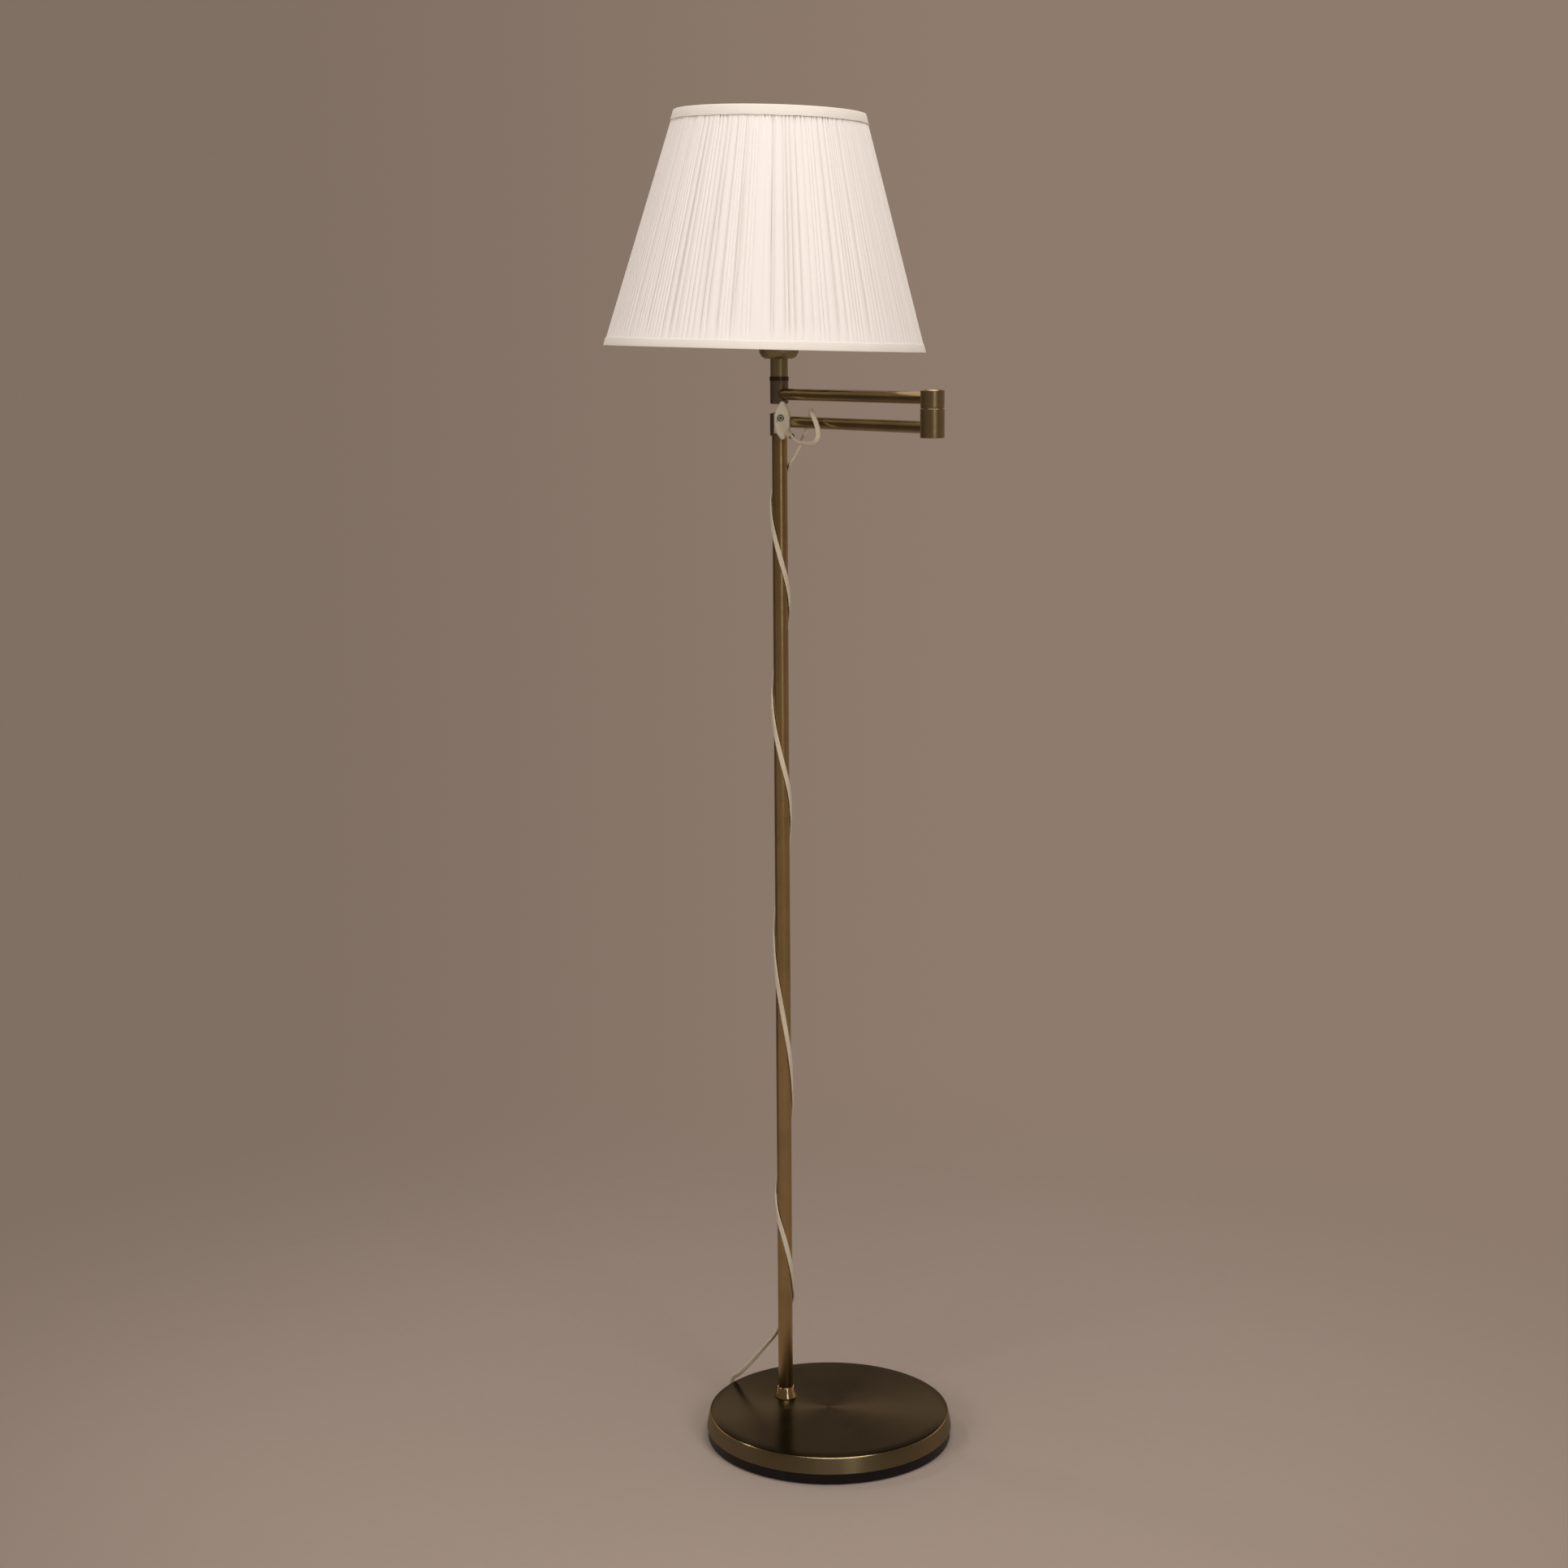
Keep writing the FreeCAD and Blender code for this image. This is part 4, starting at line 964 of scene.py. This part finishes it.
def make_gland():
    """The ribbed sleeve that keeps the flex from kinking where it leaves the switch."""
    long = (gland_end - cord_start).length
    outer = []
    for rib in range(GLAND_RIBS):
        radius = (4.0 - 0.7 * rib / (GLAND_RIBS - 1)) * MM
        low = long * (0.04 + 0.92 * rib / GLAND_RIBS)
        high = low + long * 0.92 / GLAND_RIBS
        outer += [(radius - GLAND_RIB_DEEP, low), (radius, low + GLAND_RIB_EDGE)]
        outer += [(radius, high - GLAND_RIB_EDGE), (radius - GLAND_RIB_DEEP, high)]
    inner = [(GLAND_BORE, long), (GLAND_BORE, 0.0)]
    mesh = revolved(outer + inner, 40, turned_along(cord_start, gland_end))
    return piece("flex_relief", mesh, "lower_arm", cream_moulding, ["cord_gland"])


# The band's section: places along the hank and thicknesses from its middle line, in millimetres.
STRAP_SECTION = [(-2.4, -0.35), (-2.4, 0.35), (-1.2, 0.45), (1.2, 0.45), (2.4, 0.35), (2.4, -0.35)]
STRAP_FOOT = 0.55 * MM


def make_strap():
    """The soft band round the put-away turns, sagging between their two sides."""
    half = HANK_TURNS[0][0] + 3.0 * MM
    top = []
    for step in range(25):
        share = step / 24 * 2 - 1
        sag = math.cos(share * math.pi / 2) ** 2 * 1.5 * MM
        end = max(0.0, abs(share) - 0.86) / 0.14
        top.append((share * half, 3.5 * MM - sag - end ** 2 * 1.2 * MM))
    path = top + [(x * 0.99, STRAP_FOOT) for x, _ in reversed(top[1:-1])]
    rings = []
    for index, (aside, height) in enumerate(path):
        before, after = path[index - 1], path[(index + 1) % len(path)]
        run = Vector((after[0] - before[0], after[1] - before[1])).normalized()
        ring = []
        for wide, thick in STRAP_SECTION:
            place = Vector((aside, height)) + Vector((-run.y, run.x)) * thick * MM
            ring.append(by_hank(wide * MM, place.x, place.y))
        rings.append(ring)
    mesh = loft(rings, closed=True)
    return piece("hank_strap", mesh, "root", cream_moulding, ["cord_tie"])


# The plug's sections: the distance along it, its half width and its half height, in millimetres.
PLUG_END = (0.0, 3.3, 2.6)
PLUG_SWELL = [(10.5, 6.4, 4.3), (13.0, 8.6, 5.2), (16.0, 10.8, 6.1), (19.0, 12.3, 6.6), (21.0, 12.9, 6.8)]
PLUG_FRONT = [(32.6, 13.0, 6.8), (34.2, 12.9, 6.75), (34.8, 12.5, 6.4), (35.0, 11.9, 5.9)]
PLUG_SIDES = 40
PLUG_SQUARENESS = 0.72


def squared(share):
    """A cosine or sine drawn out, so that a section is rounder than a box and squarer than an oval."""
    return math.copysign(abs(share) ** PLUG_SQUARENESS, share)


def plug_sections():
    sections = [PLUG_END]
    for rib in range(5):
        low = 0.5 + rib * 1.9
        wide = 4.3 + rib * 0.35
        sections += [(low, wide - 0.7, 3.2), (low + 0.3, wide, 3.7)]
        sections += [(low + 1.0, wide, 3.7), (low + 1.3, wide - 0.7, 3.2)]
    sections += PLUG_SWELL
    for groove in range(4):
        low = 22.2 + groove * 2.4
        sections += [(low, 12.9, 6.8), (low + 0.4, 12.4, 6.3), (low + 1.2, 12.4, 6.3), (low + 1.6, 12.9, 6.8)]
    return sections + PLUG_FRONT


def make_plug():
    """The moulded plug: a ribbed neck, a swelling body with a finger grip, and a flat front."""
    across = UP.cross(plug_heading)
    rings = []
    for along, wide, high in plug_sections():
        ring = []
        for step in range(PLUG_SIDES):
            turn = math.tau * step / PLUG_SIDES
            x = squared(math.cos(turn)) * wide * MM
            y = squared(math.sin(turn)) * high * MM
            ring.append(plug_root + plug_heading * (along * MM) + across * x + UP * y)
        rings.append(ring)
    return piece("plug_moulding", loft(rings), "root", cream_moulding, ["plug_body"])


gland = make_gland()
strap = make_strap()
plug = make_plug()
cord_route = [cord_start, gland_end]
cord_route += [on_arm(*point) for point in LOOP_ROUTE]
cord_route += winding_points()
cord_route += [Vector(point) for point in TAIL_ROUTE]
cord_route += hank_points()
cord_route += [Vector(point) for point in END_ROUTE]
cord_route += [plug_root]
cord_line = smooth_line(cord_route)
cord = piece("supply_cord", twin_flex(cord_line), None, cream_flex,
             ["cord_loop", "cord_winding", "cord_tail", "cord_hank", "cord_end"])
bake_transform(cord)

# ------------------------------------------------------------------ the camera
CAMERA_PLACE = (-0.0412, -2.6916, 1.1809)
CAMERA_LENS = 59.77
PITCH_DOWN = math.radians(9.681)
YAW = math.radians(0.075)
ROLL = math.radians(-0.370)
camera_turn = Matrix.Rotation(YAW, 4, "Z") @ Matrix.Rotation(math.pi / 2 - PITCH_DOWN, 4, "X")
camera_turn = camera_turn @ Matrix.Rotation(ROLL, 4, "Z")
camera = placed("camera", bpy.data.cameras.new("camera"), Matrix.Translation(CAMERA_PLACE) @ camera_turn)
camera.data.lens = CAMERA_LENS
camera.data.sensor_width = 36.0
bpy.context.scene.camera = camera
bpy.context.scene.view_settings.view_transform = "Standard"

# ------------------------------------------------------------------ the floor and the light
FLOOR_RADIUS = 1.6
BACKDROP = (0.268, 0.198, 0.154)
FAR_FLOOR = (0.36, 0.285, 0.235)
FAR_LEFT = (0.07, 0.055, 0.045)
OVERHEAD = (0.16, 0.13, 0.11)
DARK_ROOM = (0.085, 0.066, 0.052)
LEFT_GAIN = 0.80
BAND_GAIN = 3.8


def make_floor():
    """A pale floor that fades into the backdrop away from the lamp."""
    paint = new_paint("floor")
    x, y, _ = paint.parts(paint.place())
    away = (x * x + y * y) ** 0.5
    grain = paint.noise(paint.place(), 60.0, 3.0, 0.6)
    tone = paint.mix(colour(0.385, 0.316, 0.275), colour(0.365, 0.30, 0.26), grain)
    shader = paint.node("ShaderNodeBsdfPrincipled", sockets={"Base Color": tone, "Roughness": 0.8})
    clear = paint.node("ShaderNodeBsdfTransparent")
    share = paint.mask(away, 0.35, 1.5)
    faded = paint.node("ShaderNodeMixShader", sockets={0: share, 1: shader, 2: clear})
    paint.node("ShaderNodeOutputMaterial", sockets={"Surface": faded})
    mesh = bmesh.new()
    bmesh.ops.create_circle(mesh, cap_ends=True, segments=96, radius=FLOOR_RADIUS)
    mesh_object("floor", mesh, paint.owner)


def make_world():
    """The studio round the lamp, by direction.

    A backdrop that darkens to the left and upward, with a bright band for the base to reflect, a dark
    room on the camera's side, and the floor's far part below it.
    """
    world = bpy.data.worlds.new("studio")
    bpy.context.scene.world = world
    paint = Paint(world)
    x, y, z = paint.parts(paint.node("ShaderNodeTexCoord", out="Generated"))
    wall = paint.mix(scaled(BACKDROP, LEFT_GAIN), colour(*BACKDROP), paint.mask(x, -0.22, 0.10))
    wall = paint.mix(wall, colour(*FAR_LEFT), paint.mask(x, -0.35, -0.95))
    wall = paint.mix(wall, colour(*OVERHEAD), paint.mask(z, 0.25, 0.75))
    band = paint.mask(z, 0.29, 0.36) * paint.mask(z, 0.52, 0.43) * paint.mask(y, 0.1, 0.5)
    wall = paint.mix(wall, scaled(BACKDROP, BAND_GAIN), band)
    room = paint.mix(wall, colour(*DARK_ROOM), paint.mask(y, 0.3, -0.5))
    ground = paint.mask(z, -0.02, -0.25) * paint.mask(y, 0.3, -0.3)
    studio = paint.mix(room, colour(*FAR_FLOOR), ground)
    light = paint.node("ShaderNodeBackground", sockets={"Color": studio})
    paint.node("ShaderNodeOutputWorld", sockets={"Surface": light})


def make_light(name, place, target, size, power, tone, glossy=True):
    """A soft rectangular light. One that isn't glossy doesn't show in reflections."""
    data = bpy.data.lights.new(name, "AREA")
    data.shape = "RECTANGLE"
    data.size, data.size_y = size
    data.energy = power
    data.color = tone
    heading = Vector(target) - Vector(place)
    turn = heading.to_track_quat("-Z", "Y").to_matrix().to_4x4()
    placed(name, data, Matrix.Translation(place) @ turn).visible_glossy = glossy


make_floor()
make_world()
make_light("overhead", (0.3, -0.6, 3.2), (0, 0, 0.6), (2.0, 2.0), 48.0, (1.0, 0.955, 0.91))
make_light("key", (1.7, -2.8, 2.2), (0, 0, 1.0), (0.9, 1.4), 32.5, (1.0, 0.96, 0.92), glossy=False)
make_light("fill", (-2.0, -2.2, 1.7), (0, 0, 1.1), (1.2, 1.2), 30.0, (1.0, 0.965, 0.93), glossy=False)
make_light("far_left", (-1.52, 0.89, 2.17), (0.1, -0.2, 1.1), (0.3, 0.3), 6.0, (1.0, 0.95, 0.88))
make_light("strip", (0.9, -2.4, 1.3), (0, 0, 0.9), (0.5, 1.6), 3.5, (1.0, 0.95, 0.88))
